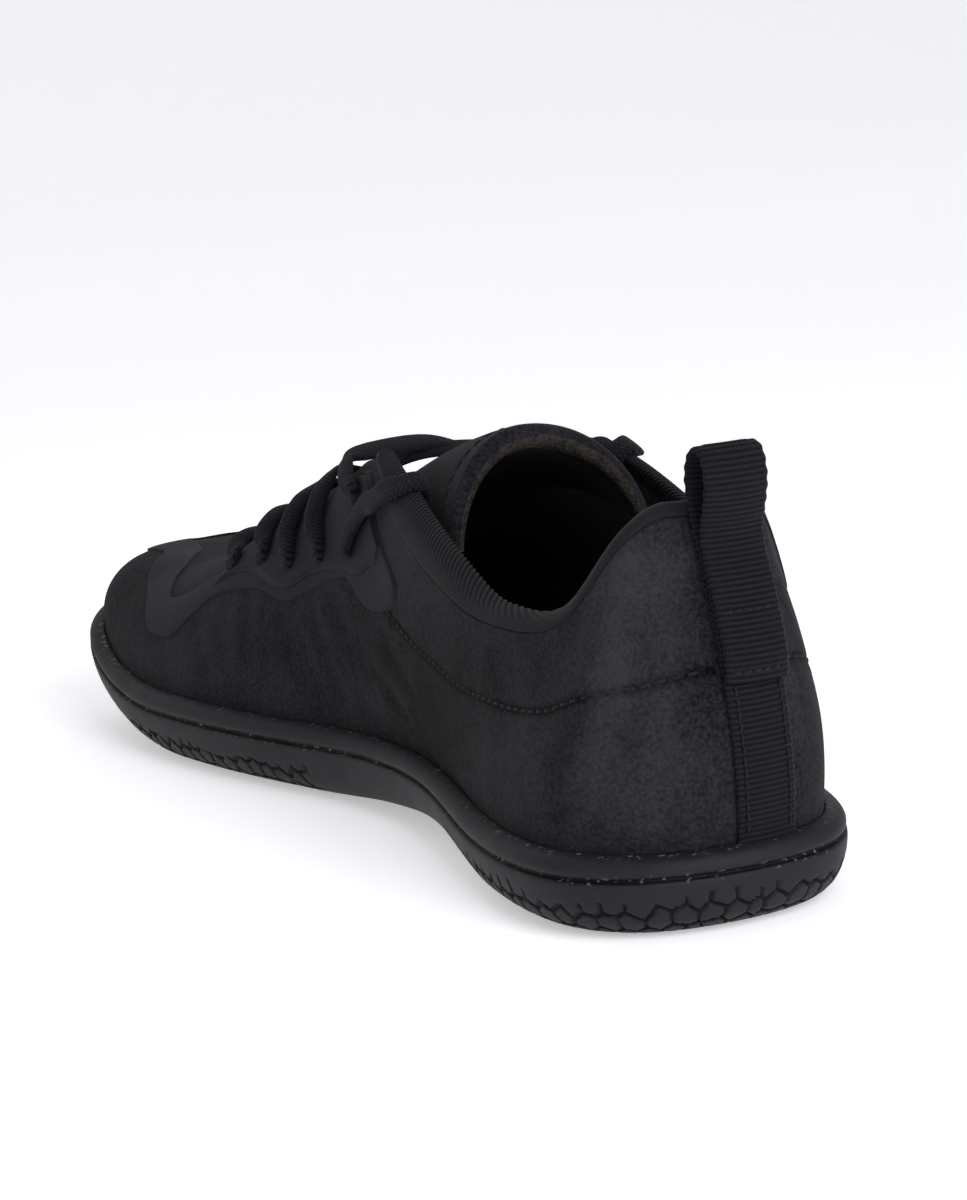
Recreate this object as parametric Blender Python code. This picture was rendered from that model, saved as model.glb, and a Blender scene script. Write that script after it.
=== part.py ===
"""Low sneaker for the right foot, standing empty on its sole.

Sizes are in millimetres and become metres when a mesh is made. The heel is at y = 0 and the toe at
y = LENGTH, the medial side (big toe) is at -x, the lateral side at +x, and the floor is z = 0. At the end
the shoe is moved so that the middle of its box stands on the origin.
"""
import bpy
import numpy as np
from mathutils import Matrix, Vector
from mathutils.bvhtree import BVHTree

MM = 0.001
LENGTH = 285.0
AROUND = 72
CLEARANCE = 0.3

# Sole
HEEL_TIP = (-3.0, 0.0)
TOE_TIP = (-10.0, LENGTH)
CUP_FLOOR = 5.0
CUP_WALL = 4.0
TREAD_PITCH = 25.0
TREAD_GROOVE = 2.0
TREAD_DEPTH = 1.5
TREAD_ZONES = ((-10.0, 78.0), (150.0, LENGTH + 10.0))

# Upper, insole, tongue and collar band
WALL = 2.0
RINGS = 10
INSOLE = 3.0
TONGUE_TIP = 5.2
TONGUE_ROOT = 3.0
TONGUE_SWEEP = 5.0
TONGUE_STATIONS = 15
TONGUE_ROUND = 12
BAND_STATIONS = 38

# Webbing at the heel
STRAP_FOOT = 0.4
STRAP_HEAD = -1.6
STRAP_WIDTH = 13.5
STRAP_TOP = 71.6
WEBBING = 1.2
HEEL_BOW = 0.9

# Overlay film and lace
FILM = 0.6
FILM_STATIONS = 58
FILM_ROUND = 6
LACE_WIDTH = 4.4
LAST_WIDTH = 5.4
LACE_THICK = 1.8
LACE_STEPS = 13
LACE_LIFT = FILM + 2 * CLEARANCE + LACE_THICK / 2

# Plan of the sole: station from the heel, medial edge, lateral edge
PLAN = (
    (6.0, -26.0, 15.5),
    (16.0, -34.5, 23.5),
    (34.0, -38.0, 29.5),
    (60.0, -35.0, 33.5),
    (90.0, -29.0, 37.0),
    (116.0, -26.5, 40.0),
    (142.0, -29.5, 44.0),
    (170.0, -37.0, 49.5),
    (200.0, -43.5, 54.5),
    (228.0, -46.0, 55.0),
    (252.0, -44.5, 47.5),
    (268.0, -40.5, 36.0),
    (279.0, -32.0, 19.0),
)

# Side of the sole: station from the heel, height of the underside, height of the rim
PROFILE = (
    (0.0, 0.6, 16.1),
    (12.0, 0.0, 16.1),
    (52.0, 0.0, 16.1),
    (94.0, 2.8, 16.9),
    (128.0, 1.4, 17.1),
    (158.0, 0.0, 16.8),
    (210.0, 0.0, 16.6),
    (246.0, 5.6, 19.6),
    (268.0, 11.9, 25.6),
    (285.0, 17.8, 30.1),
)

# Section of the sole's side: share of its height, distance inside the plan
SIDE = (
    (0.00, 10.0),
    (0.03, 7.0),
    (0.12, 4.2),
    (0.30, 1.7),
    (0.48, 0.6),
    (0.62, 0.3),
    (0.645, 1.3),
    (0.68, 1.3),
    (0.71, 0.1),
    (0.84, 0.0),
    (0.95, 0.8),
    (1.00, 2.3),
)

# Upper, one row per section: station on the sole, top edge (station, medial x, lateral x, medial height,
# lateral height), how far the wall rises and swells above the rim, how far it reaches and falls from the edge
UPPER = (
    (0.0, 10.6, -2.0, -2.0, 73.1, 73.1, 18.0, 4.6, 6.5, 16.0),
    (6.0, 11.4, -11.5, 5.8, 72.9, 72.9, 18.0, 4.4, 3.8, 16.0),
    (16.0, 14.8, -18.0, 11.6, 66.1, 66.1, 18.0, 3.4, 3.2, 14.0),
    (34.0, 27.0, -25.8, 22.5, 54.7, 54.7, 15.0, 1.5, 3.0, 12.0),
    (60.0, 52.0, -29.3, 30.0, 51.7, 51.7, 15.0, 2.0, 2.0, 12.0),
    (90.0, 78.0, -28.2, 33.0, 56.1, 56.1, 16.0, 5.0, 3.0, 14.0),
    (116.0, 103.0, -25.2, 32.5, 64.1, 64.1, 18.0, 6.5, 5.0, 16.0),
    (142.0, 125.0, -19.5, 28.5, 74.3, 73.1, 20.0, 5.0, 8.0, 14.0),
    (170.0, 151.0, -15.5, 24.5, 67.6, 66.1, 20.0, 3.5, 11.0, 9.0),
    (200.0, 177.0, -14.5, 22.0, 58.3, 55.3, 18.0, 2.0, 15.0, 6.0),
    (228.0, 199.0, -13.0, 18.5, 48.7, 44.4, 16.0, 1.5, 18.0, 3.0),
    (252.0, 214.0, -10.5, 14.5, 43.0, 38.8, 15.0, 1.0, 24.0, 0.5),
    (268.0, 221.0, -6.5, 9.5, 40.4, 37.7, 14.0, 0.5, 34.0, -2.4),
    (279.0, 224.0, -2.0, 5.5, 39.2, 38.0, 14.0, 0.0, 42.0, -4.0),
    (LENGTH, 225.0, 1.5, 1.5, 38.6, 38.6, 13.0, 0.0, 44.0, -4.4),
)

# Collar band: station on the sole, then its top line (station, medial x, lateral x, medial height,
# lateral height)
COLLAR = (
    (0.0, 12.0, -1.5, -1.5, 76.1, 76.1),
    (6.0, 12.6, -10.5, 5.4, 75.7, 75.7),
    (16.0, 16.5, -17.0, 10.8, 69.1, 69.1),
    (34.0, 29.0, -23.6, 20.6, 58.1, 58.1),
    (60.0, 51.0, -26.6, 27.8, 55.3, 55.3),
    (90.0, 76.0, -25.6, 30.4, 62.1, 62.1),
    (116.0, 100.0, -22.6, 29.8, 69.7, 69.7),
    (142.0, 123.5, -18.4, 27.4, 77.3, 75.9),
)

# Section of the collar band: share of the way up from the upper's edge, distance outside the upper's face
BAND_SECTION = (
    (0.00, -0.2),
    (0.25, 0.5),
    (0.62, 0.6),
    (0.90, 0.0),
    (1.00, -1.3),
    (0.92, -2.5),
    (0.60, -3.0),
    (0.22, -2.7),
    (0.00, -1.8),
)

# Tongue: station, centre, half width on the medial and on the lateral side, crown height, drop of the sides
TONGUE_ROWS = (
    (91.0, -1.5, 18.5, 24.0, 82.5, 25.0),
    (106.0, 0.5, 18.0, 23.0, 79.7, 19.0),
    (121.0, 2.5, 17.0, 21.5, 75.9, 13.0),
    (141.0, 3.6, 17.4, 19.0, 69.1, 8.0),
    (161.0, 3.8, 17.0, 18.0, 61.7, 6.0),
    (181.0, 3.6, 16.0, 16.4, 53.3, 5.5),
    (201.0, 2.8, 13.4, 13.0, 44.0, 5.0),
    (219.0, 2.0, 10.0, 9.0, 36.0, 3.5),
    (232.0, 1.5, 7.0, 6.0, 31.9, 1.5),
)

# Overlay film: share round the upper on the medial side, lower and upper edge as shares of the wall's height
FILM_ROWS = (
    (0.2040, 0.65, 0.77),
    (0.2090, 0.55, 0.82),
    (0.2207, 0.48, 0.80),
    (0.2290, 0.47, 0.83),
    (0.2370, 0.49, 0.92),
    (0.2430, 0.50, 0.95),
    (0.2520, 0.49, 0.95),
    (0.2638, 0.46, 0.95),
    (0.2791, 0.41, 0.95),
    (0.2974, 0.45, 0.95),
    (0.3094, 0.46, 0.95),
    (0.3242, 0.45, 0.94),
    (0.3330, 0.42, 0.84),
    (0.3400, 0.35, 0.60),
    (0.3480, 0.25, 0.53),
    (0.3586, 0.23, 0.47),
    (0.3720, 0.24, 0.45),
    (0.3804, 0.28, 0.50),
    (0.3960, 0.41, 0.60),
    (0.4156, 0.52, 0.71),
    (0.4400, 0.56, 0.78),
    (0.4700, 0.55, 0.80),
    (0.4906, 0.54, 0.81),
)

# Eyelets from the toe up: share round the upper on the medial side, share of the wall's height, share that
# the lace leans forward by the time it reaches the edge
EYELETS = (
    (0.3345, 0.60, 0.042),
    (0.3094, 0.60, 0.036),
    (0.2853, 0.56, 0.032),
    (0.2638, 0.59, 0.033),
    (0.2480, 0.82, 0.026),
)
LAST_EYELET = (0.2420, 0.64)
LAST_LEAN = 0.031
LAST_LEAN_LATERAL = 0.041

# Last strand's bend over the collar band: share of the band's height, distance outside it, distance above it
LAST_BEND = (
    (0.50, 2.2, 0.0),
    (0.88, 1.7, 0.9),
    (1.00, 0.2, 1.9),
    (1.00, -1.8, 1.9),
    (0.92, -3.8, 1.0),
    (0.72, -4.8, 0.0),
)

# Pull loop at the heel: height, station of the webbing's middle
LOOP = (
    (48.6, 0.8),
    (55.1, 2.0),
    (61.1, 3.4),
    (67.1, 5.2),
    (73.1, 7.6),
    (79.1, 9.4),
    (83.5, 8.6),
    (85.7, 6.0),
    (84.3, 3.2),
    (79.5, 1.8),
    (73.1, 2.0),
    (67.1, 2.6),
    (61.1, 1.6),
    (55.1, 0.4),
    (48.6, -0.8),
)


def closed_spline(points):
    """A smooth closed curve through points, as a function of the share of its chord length."""
    p = np.asarray(points, float)
    n = len(p)
    span = np.linalg.norm(np.roll(p, -1, 0) - p, axis=1)
    knots = np.concatenate([[0.0], np.cumsum(span)])
    left = np.zeros((n, n))
    right = np.zeros_like(p)
    for i in range(n):
        after = (i + 1) % n
        left[i, i - 1] += span[i - 1]
        left[i, i] += 2 * (span[i - 1] + span[i])
        left[i, after] += span[i]
        right[i] = 6 * ((p[after] - p[i]) / span[i] - (p[i] - p[i - 1]) / span[i - 1])
    bend = np.linalg.solve(left, right)

    def at(share):
        t = (np.asarray(share, float) % 1.0) * knots[-1]
        i = np.clip(np.searchsorted(knots, t, side="right") - 1, 0, n - 1)
        j = (i + 1) % n
        h = span[i][:, None]
        u = (t - knots[i])[:, None]
        w = h - u
        cubic = (bend[i] * w**3 + bend[j] * u**3) / (6 * h)
        return cubic + (p[i] / h - bend[i] * h / 6) * w + (p[j] / h - bend[j] * h / 6) * u

    return at, knots / knots[-1]


def smooth(x, y):
    """A smooth curve y(x) through the rows, with no overshoot at a peak or a dip."""
    x = np.asarray(x, float)
    y = np.asarray(y, float)
    rise = np.diff(y) / np.diff(x)
    slope = np.concatenate([[rise[0]], (rise[:-1] + rise[1:]) / 2, [rise[-1]]])
    slope[1:-1][rise[:-1] * rise[1:] <= 0] = 0.0

    def at(t):
        t = np.asarray(t, float)
        i = np.clip(np.searchsorted(x, t, side="right") - 1, 0, len(x) - 2)
        h = x[i + 1] - x[i]
        s = np.clip((t - x[i]) / h, 0, 1)
        start = (1 + 2 * s) * (1 - s) ** 2 * y[i] + s * (1 - s) ** 2 * h * slope[i]
        return start + s * s * (3 - 2 * s) * y[i + 1] + s * s * (s - 1) * h * slope[i + 1]

    return at


MEDIAL = [(medial, station) for station, medial, lateral in PLAN]
LATERAL = [(lateral, station) for station, medial, lateral in reversed(PLAN)]
PLAN_CURVE, PLAN_KNOTS = closed_spline([HEEL_TIP, *MEDIAL, TOE_TIP, *LATERAL])
TOE_SHARE = PLAN_KNOTS[len(PLAN) + 1]
STATIONS = [row[0] for row in PROFILE]
UNDERSIDE = smooth(STATIONS, [row[1] for row in PROFILE])
RIM = smooth(STATIONS, [row[2] for row in PROFILE])


def shares(count=AROUND):
    """Shares round the plan, closer at heel and toe: up the medial side, then back down the lateral side."""
    half = count // 2
    even = np.linspace(0.0, 1.0, half, endpoint=False)
    drawn = 0.55 * even + 0.45 * (0.5 - 0.5 * np.cos(np.pi * even))
    return np.concatenate([TOE_SHARE * drawn, TOE_SHARE + (1.0 - TOE_SHARE) * drawn])


def inward(share):
    step = 1e-3
    along = PLAN_CURVE(share + step) - PLAN_CURVE(share - step)
    along /= np.linalg.norm(along, axis=1)[:, None]
    return np.stack([along[:, 1], -along[:, 0]], 1)


def plan(inset, share=None):
    share = shares() if share is None else share
    return PLAN_CURVE(share) + inward(share) * inset


def around_rows(rows, columns):
    """Smooth closed functions of the share; a medial column (2 or 4) is followed by its lateral one."""
    knot = {station: 1 + i for i, (station, _, _) in enumerate(PLAN)}
    share_of, values = [], []
    for side in (0, 1):
        ordered = rows if side == 0 else rows[::-1]
        for row in ordered:
            heel = row[0] == 0.0
            toe = row[0] >= LENGTH
            if side == 1 and (heel or toe):
                continue
            if heel:
                share = 0.0
            elif toe:
                share = TOE_SHARE
            elif side == 0:
                share = PLAN_KNOTS[knot[row[0]]]
            else:
                share = PLAN_KNOTS[2 * len(PLAN) + 2 - knot[row[0]]]
            share_of.append(share)
            values.append([row[c + side] if c in (2, 4) else row[c] for c in columns])
    share_of = np.array(share_of)
    values = np.array(values)
    lapped = np.concatenate([share_of[-3:] - 1.0, share_of, share_of[:3] + 1.0])
    wrapped = np.concatenate([values[-3:], values, values[:3]])
    curves = [smooth(lapped, wrapped[:, k]) for k in range(values.shape[1])]
    return lambda share: np.stack([curve(np.asarray(share) % 1.0) for curve in curves], 1)


TOP_EDGE = around_rows(UPPER, (2, 1, 4, 6, 7, 8, 9))
BAND_TOP = around_rows(COLLAR, (2, 1, 4))


def upper_face(share, height):
    """Points of the upper's outer face, from the rim (height 0) to its top edge (height 1)."""
    edge = TOP_EDGE(share)
    top = edge[:, :3]
    rise, swell, reach, fall = edge[:, 3:].T
    foot = plan(CUP_WALL + CLEARANCE, share)
    rim = RIM(foot[:, 1])
    away = foot - top[:, :2]
    away /= np.linalg.norm(away, axis=1)[:, None]
    p0 = np.column_stack([foot, rim + 0.4])
    p1 = np.column_stack([foot - inward(share) * swell[:, None], rim + rise])
    p2 = np.column_stack([top[:, :2] + away * reach[:, None], top[:, 2] - fall])
    t = np.broadcast_to(height, share.shape)[:, None]
    return (1 - t) ** 3 * p0 + 3 * t * (1 - t) ** 2 * p1 + 3 * t * t * (1 - t) * p2 + t**3 * top


def on_upper(share, height, lift):
    """Points that stand off the upper's outer face by lift."""
    share = np.asarray(share, float)
    height = np.broadcast_to(np.asarray(height, float), share.shape)
    step = 2e-3
    along = upper_face(share + step, height) - upper_face(share - step, height)
    up = upper_face(share, height + step) - upper_face(share, height - step)
    out = np.cross(up, along)
    out /= np.linalg.norm(out, axis=1)[:, None]
    return upper_face(share, height) + out * lift


def upper_outside(share, rings=RINGS):
    """Grid of points of the upper's outer face: two rings inside the cup, then rings up to the top edge."""
    inset = CUP_WALL + CLEARANCE
    low = plan(inset + 0.5, share)
    foot = plan(inset, share)
    floor = UNDERSIDE(low[:, 1]) + CUP_FLOOR + CLEARANCE
    grid = [np.column_stack([low, floor]), np.column_stack([foot, RIM(foot[:, 1]) - 2.0])]
    grid += [upper_face(share, height) for height in np.linspace(0.0, 1.0, rings)]
    return np.array(grid)


def normals(grid):
    """Outward normals of a grid that closes round its second direction."""
    round_step = np.roll(grid, -1, 1) - np.roll(grid, 1, 1)
    up_step = np.gradient(grid, axis=0)
    n = np.cross(up_step, round_step)
    return n / np.linalg.norm(n, axis=2)[:, :, None]


def tube_faces(rows, count, closed=True):
    """Quads between the rings of a grid."""
    last = count if closed else count - 1
    faces = []
    for r in range(rows - 1):
        for i in range(last):
            j = (i + 1) % count
            faces.append((r * count + i, r * count + j, (r + 1) * count + j, (r + 1) * count + i))
    return faces


def ladder(first, count, flip=False):
    """A cap across a ring of the plan, with a rung from each medial point to its lateral partner."""
    faces = []
    half = count // 2
    for i in range(half):
        quad = [first + i, first + i + 1, first + (count - i - 1) % count, first + (count - i) % count]
        quad = list(dict.fromkeys(quad))
        faces.append(tuple(reversed(quad)) if flip else tuple(quad))
    return faces


def mesh_object(name, points, faces, material):
    points = np.asarray(points, float).reshape(-1, 3)
    mesh = bpy.data.meshes.new(name)
    mesh.from_pydata([tuple(p) for p in points * MM], [], faces)
    mesh.materials.append(material)
    mesh.update()
    made = bpy.data.objects.new(name, mesh)
    bpy.context.scene.collection.objects.link(made)
    return made


def material(name, colour, roughness):
    made = bpy.data.materials.new(name)
    made.use_nodes = True
    shader = made.node_tree.nodes["Principled BSDF"]
    shader.inputs["Base Color"].default_value = (*colour, 1.0)
    shader.inputs["Roughness"].default_value = roughness
    return made


def slab(name, top, bottom, finish):
    """A closed sheet between two grids of the same size."""
    rows, count = top.shape[:2]
    size = rows * count
    faces = tube_faces(rows, count, closed=False)
    faces += [tuple(reversed([i + size for i in face])) for face in tube_faces(rows, count, closed=False)]
    for i in range(count - 1):
        far = (rows - 1) * count + i
        faces.append((i + 1, i, i + size, i + 1 + size))
        faces.append((far, far + 1, far + 1 + size, far + size))
    for r in range(rows - 1):
        near = r * count
        far = near + count - 1
        faces.append((near, near + count, near + count + size, near + size))
        faces.append((far + count, far, far + size, far + count + size))
    return mesh_object(name, np.concatenate([top.reshape(-1, 3), bottom.reshape(-1, 3)]), faces, finish)


def facing_up(made):
    """Turns a closed mesh right side out."""
    mesh = made.data
    mesh.calc_loop_triangles()
    corners = np.array([[mesh.vertices[i].co[:] for i in tri.vertices] for tri in mesh.loop_triangles])
    volume = np.einsum("ij,ij->i", corners[:, 0], np.cross(corners[:, 1], corners[:, 2])).sum()
    if volume < 0:
        mesh.flip_normals()
    return made


def boolean(target, tool, operation):
    step = target.modifiers.new(operation.lower(), "BOOLEAN")
    step.object = tool
    step.operation = operation
    step.solver = "EXACT"
    tool.hide_render = True
    tool.display_type = "WIRE"


for old in list(bpy.data.objects):
    bpy.data.objects.remove(old, do_unlink=True)

RUBBER = material("moulded rubber", (0.013, 0.013, 0.016), 0.55)
NUBUCK = material("nubuck leather", (0.020, 0.020, 0.022), 0.9)
KNIT = material("ribbed knit", (0.024, 0.024, 0.025), 0.85)
FOAM = material("foam board", (0.016, 0.016, 0.016), 0.9)
WEB = material("woven webbing", (0.014, 0.014, 0.017), 0.8)
FILM_FINISH = material("moulded film", (0.023, 0.023, 0.028), 0.5)
LACE = material("woven lace", (0.012, 0.012, 0.014), 0.85)


def make_sole():
    share = shares()
    rings = []
    for height, inset in SIDE:
        p = plan(inset, share)
        low = UNDERSIDE(p[:, 1])
        rings.append(np.column_stack([p, low + height * (RIM(p[:, 1]) - low)]))
    p = plan(CUP_WALL, share)
    rings.append(np.column_stack([p, RIM(p[:, 1])]))
    p = plan(CUP_WALL + 0.5, share)
    rings.append(np.column_stack([p, UNDERSIDE(p[:, 1]) + CUP_FLOOR]))
    faces = [tuple(reversed(f)) for f in tube_faces(len(rings), AROUND)]
    faces += ladder(0, AROUND)
    faces += ladder((len(rings) - 1) * AROUND, AROUND, flip=True)
    sole = mesh_object("outsole", np.array(rings), faces, RUBBER)
    boolean(sole, make_tread_cutter(), "DIFFERENCE")
    return sole


def inside_plan(points):
    """How far each point lies inside the plan; negative outside it."""
    share = shares(320)
    edge = PLAN_CURVE(share)
    nearest = np.linalg.norm(points[:, None] - edge[None], axis=2).argmin(1)
    return np.einsum("ij,ij->i", points - edge[nearest], inward(share)[nearest])


def groove_top(points):
    """Height to which a groove cuts at each point: its depth above the underside and its rounded edge."""
    rounded = SIDE[3::-1]
    share = np.interp(inside_plan(points), [row[1] for row in rounded], [row[0] for row in rounded])
    low = UNDERSIDE(points[:, 1])
    return low + share * (RIM(points[:, 1]) - low) + TREAD_DEPTH


def make_tread_cutter():
    """A honeycomb of grooves: each cell leaves one six-sided lug."""
    turn = np.radians(60 * np.arange(6) + 30)
    ring = np.stack([np.cos(turn), np.sin(turn)], 1) * TREAD_PITCH / np.sqrt(3)
    rise = TREAD_PITCH * np.sqrt(3) / 2
    corners, cells = {}, []
    for row in range(-1, int(LENGTH / rise) + 2):
        y = row * rise
        if not any(low <= y <= high for low, high in TREAD_ZONES):
            continue
        for column in range(-5, 6):
            centre = np.array([(column + 0.5 * (row % 2)) * TREAD_PITCH, y])
            if inside_plan(centre[None])[0] < -0.4 * TREAD_PITCH:
                continue
            outer = [corners.setdefault(tuple(np.round(c, 3)), len(corners)) for c in centre + ring]
            cells.append((centre, outer))
    flat = list(corners)
    faces = []
    for centre, outer in cells:
        first = len(flat)
        flat += [tuple(c) for c in centre + ring * (1 - TREAD_GROOVE / TREAD_PITCH)]
        for i in range(6):
            j = (i + 1) % 6
            faces.append((outer[i], outer[j], first + j, first + i))
    flat = np.array(flat)
    size = len(flat)
    used = {}
    for face in faces:
        for i in range(4):
            used[face[i], face[(i + 1) % 4]] = True
    walls = [(b, a, a + size, b + size) for a, b in used if (b, a) not in used]
    under = np.column_stack([flat, UNDERSIDE(flat[:, 1]) - 4.0])
    over = np.column_stack([flat, groove_top(flat)])
    solid = [tuple(reversed(face)) for face in faces]
    solid += [tuple(i + size for i in face) for face in faces]
    solid += [tuple(reversed(wall)) for wall in walls]
    return facing_up(mesh_object("tread_cutter", np.concatenate([under, over]), solid, RUBBER))


def make_insole():
    share = shares()
    rings = []
    inset = CUP_WALL + CLEARANCE + 0.5 + WALL + CLEARANCE + 0.4
    for up in (0.0, INSOLE):
        p = plan(inset, share)
        rings.append(np.column_stack([p, UNDERSIDE(p[:, 1]) + CUP_FLOOR + 2 * CLEARANCE + up]))
    faces = [tuple(reversed(f)) for f in tube_faces(2, AROUND)]
    faces += ladder(0, AROUND)
    faces += ladder(AROUND, AROUND, flip=True)
    return mesh_object("insole", np.array(rings), faces, FOAM)


def make_upper():
    outside = upper_outside(shares())
    inside = outside - normals(outside) * WALL
    inside[0, :, 2] = outside[0, :, 2]
    grid = np.concatenate([outside, inside[::-1], outside[:1]])[:-1]
    rows = len(grid)
    faces = tube_faces(rows, AROUND)
    last = (rows - 1) * AROUND
    for i in range(AROUND):
        j = (i + 1) % AROUND
        faces.append((last + i, last + j, j, i))
    return mesh_object("upper", grid, [tuple(reversed(f)) for f in faces], NUBUCK)


def band_frame(share):
    """Foot of the collar band just above the upper's edge, the way up to its top line, and the way out."""
    edge = upper_face(share, 1.0)
    wall = edge - upper_face(share, 0.97)
    wall /= np.linalg.norm(wall, axis=1)[:, None]
    low = edge + wall * 1.7 * CLEARANCE
    return low, BAND_TOP(share) - low, on_upper(share, 0.995, 1.0) - on_upper(share, 0.995, 0.0)


def make_band():
    start = PLAN_KNOTS[2 * len(PLAN) + 2 - 7] - 1.0
    end = PLAN_KNOTS[7]
    share = np.linspace(start, end, BAND_STATIONS)
    low, up, out = band_frame(share)
    rings = np.array([low + up * part + out * away for part, away in BAND_SECTION]).transpose(1, 0, 2)
    size = len(BAND_SECTION)
    faces = tube_faces(BAND_STATIONS, size)
    faces.append(tuple(reversed(range(size))))
    faces.append(tuple(range((BAND_STATIONS - 1) * size, BAND_STATIONS * size)))
    return facing_up(mesh_object("collar_band", rings, faces, KNIT))


def tongue_face(stations, angles):
    """Grid of the tongue's outer face: a saddle that rises to the tip and wraps down at both sides."""
    columns = np.array(TONGUE_ROWS).T
    curves = [smooth(columns[0], column)(stations)[:, None] for column in columns[1:]]
    centre, medial, lateral, crown, drop = curves
    bend = np.sin(angles)[None, :]
    sag = 1 - np.cos(angles)[None, :]
    half = np.where(bend < 0, medial, lateral)
    fade = np.clip((130.0 - stations) / 40.0, 0, 1)[:, None]
    y = stations[:, None] - TONGUE_SWEEP * fade * sag
    return np.stack([centre + half * bend, y, crown - drop * sag], 2)


def make_tongue():
    stations = np.linspace(TONGUE_ROWS[0][0], TONGUE_ROWS[-1][0], TONGUE_STATIONS)
    angles = np.radians(np.linspace(-86, 86, TONGUE_ROUND))
    top = tongue_face(stations, angles)
    down = np.cross(np.gradient(top, axis=0), np.gradient(top, axis=1))
    down /= np.linalg.norm(down, axis=2)[:, :, None]
    thick = np.linspace(TONGUE_TIP, TONGUE_ROOT, len(stations))[:, None, None]
    thick = thick * (0.45 + 0.55 * np.cos(angles))[None, :, None]
    return facing_up(slab("tongue", top, top + down * thick, NUBUCK))


def heel_tree():
    grid = upper_outside(shares(240), 40)
    points = [tuple(p) for p in grid.reshape(-1, 3)]
    return BVHTree.FromPolygons(points, tube_faces(*grid.shape[:2]))


def strap_centre(height):
    return np.interp(height, (RIM(0.0), STRAP_TOP), (STRAP_FOOT, STRAP_HEAD))


def make_heel_strap():
    tree = heel_tree()
    rows = []
    for height in np.linspace(RIM(0.0) + 0.8, STRAP_TOP, 12):
        across = strap_centre(height) + STRAP_WIDTH * np.linspace(-0.5, 0.5, 6)
        hits = [tree.ray_cast(Vector((x, -60.0, height)), Vector((0, 1, 0)))[0] for x in across]
        rows.append([(hit.x, hit.y - CLEARANCE - 0.1, hit.z) for hit in hits])
    inner = np.array(rows)
    outer = inner - np.array([0.0, WEBBING, 0.0])
    return facing_up(slab("heel_strap", outer, inner, WEB))


def make_pull_loop():
    path = np.array([(y, z) for z, y in LOOP])
    along = np.gradient(path, axis=0)
    along /= np.linalg.norm(along, axis=1)[:, None]
    side = np.stack([-along[:, 1], along[:, 0]], 1) * WEBBING / 2
    across = np.linspace(-0.5, 0.5, 4)
    sheets = []
    for edge in (path + side, path - side):
        sheet = []
        for y, z in edge:
            sheet.append([(strap_centre(z) + STRAP_WIDTH * k, y + HEEL_BOW * 4 * k * k, z) for k in across])
        sheets.append(np.array(sheet))
    return facing_up(slab("pull_loop", *sheets, WEB))


def other_side(share):
    """The share on the lateral side that faces a share on the medial side."""
    return 1.0 - np.asarray(share) * (1.0 - TOE_SHARE) / TOE_SHARE


def make_film():
    rows = np.array(FILM_ROWS)
    share = np.concatenate([rows[:-1, 0], other_side(rows[::-1, 0])])
    low = smooth(share, np.concatenate([rows[:-1, 1], rows[::-1, 1]]))
    high = smooth(share, np.concatenate([rows[:-1, 2], rows[::-1, 2]]))
    stations = np.linspace(share[0], share[-1], FILM_STATIONS)
    below = low(stations)
    width = high(stations) - below
    sheets = []
    for lift in (CLEARANCE + FILM, CLEARANCE):
        sheet = [on_upper(stations, below + width * k, lift) for k in np.linspace(0.0, 1.0, FILM_ROUND)]
        sheets.append(np.array(sheet))
    return facing_up(slab("overlay_film", *sheets, FILM_FINISH))


def ribbon(name, stops, width=LACE_WIDTH, count=LACE_STEPS):
    """A flat lace along a smooth route through stops, each a point and the direction across the lace."""
    centre = np.array([point for point, across in stops])
    side = np.array([across if across[1] > 0 else -across for point, across in stops])
    length = np.concatenate([[0.0], np.cumsum(np.linalg.norm(np.diff(centre, axis=0), axis=1))])
    steps = np.linspace(0.0, length[-1], count)
    middle = np.stack([smooth(length, centre[:, k])(steps) for k in range(3)], 1)
    across = np.stack([smooth(length, side[:, k])(steps) for k in range(3)], 1)
    along = np.gradient(middle, axis=0)
    along /= np.linalg.norm(along, axis=1)[:, None]
    across -= along * np.einsum("ij,ij->i", along, across)[:, None]
    across /= np.linalg.norm(across, axis=1)[:, None]
    out = np.cross(across, along)
    sheets = []
    for lift in (0.5, -0.5):
        edges = [middle + out * LACE_THICK * lift + across * width * k for k in (-0.5, 0.5)]
        sheets.append(np.stack(edges, 1))
    return facing_up(slab(name, *sheets, LACE))


def lie(share, height, lift=LACE_LIFT):
    """A point of the lace on the upper and the direction across it there."""
    share = np.array([share])
    point = on_upper(share, height, lift)[0]
    across = on_upper(share + 2e-3, height, lift)[0] - point
    return point, across / np.linalg.norm(across)


def over_tongue(station, angle):
    """A point of the lace on the tongue and the direction across it there."""
    angle = np.radians(angle)
    stations = np.array([station, station + 2.0])
    near = tongue_face(stations, np.array([angle]))[:, 0]
    across = near[1] - near[0]
    turn = tongue_face(stations[:1], np.array([angle - 0.02, angle + 0.02]))[0]
    out = np.cross(turn[1] - turn[0], across)
    out /= np.linalg.norm(out)
    return near[0] + out * (CLEARANCE + 0.3 + LACE_THICK / 2), across / np.linalg.norm(across)


def up_the_side(eyelet, medial, top):
    """Stops of the lace from an eyelet to the height top, leaning forward on the way."""
    share, height, lean = eyelet
    stops = []
    for step in np.linspace(0.0, 1.0, 4):
        here = share + lean * step
        here = here if medial else float(other_side(here))
        stops.append(lie(here, height + step * (top - height)))
    return stops


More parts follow.
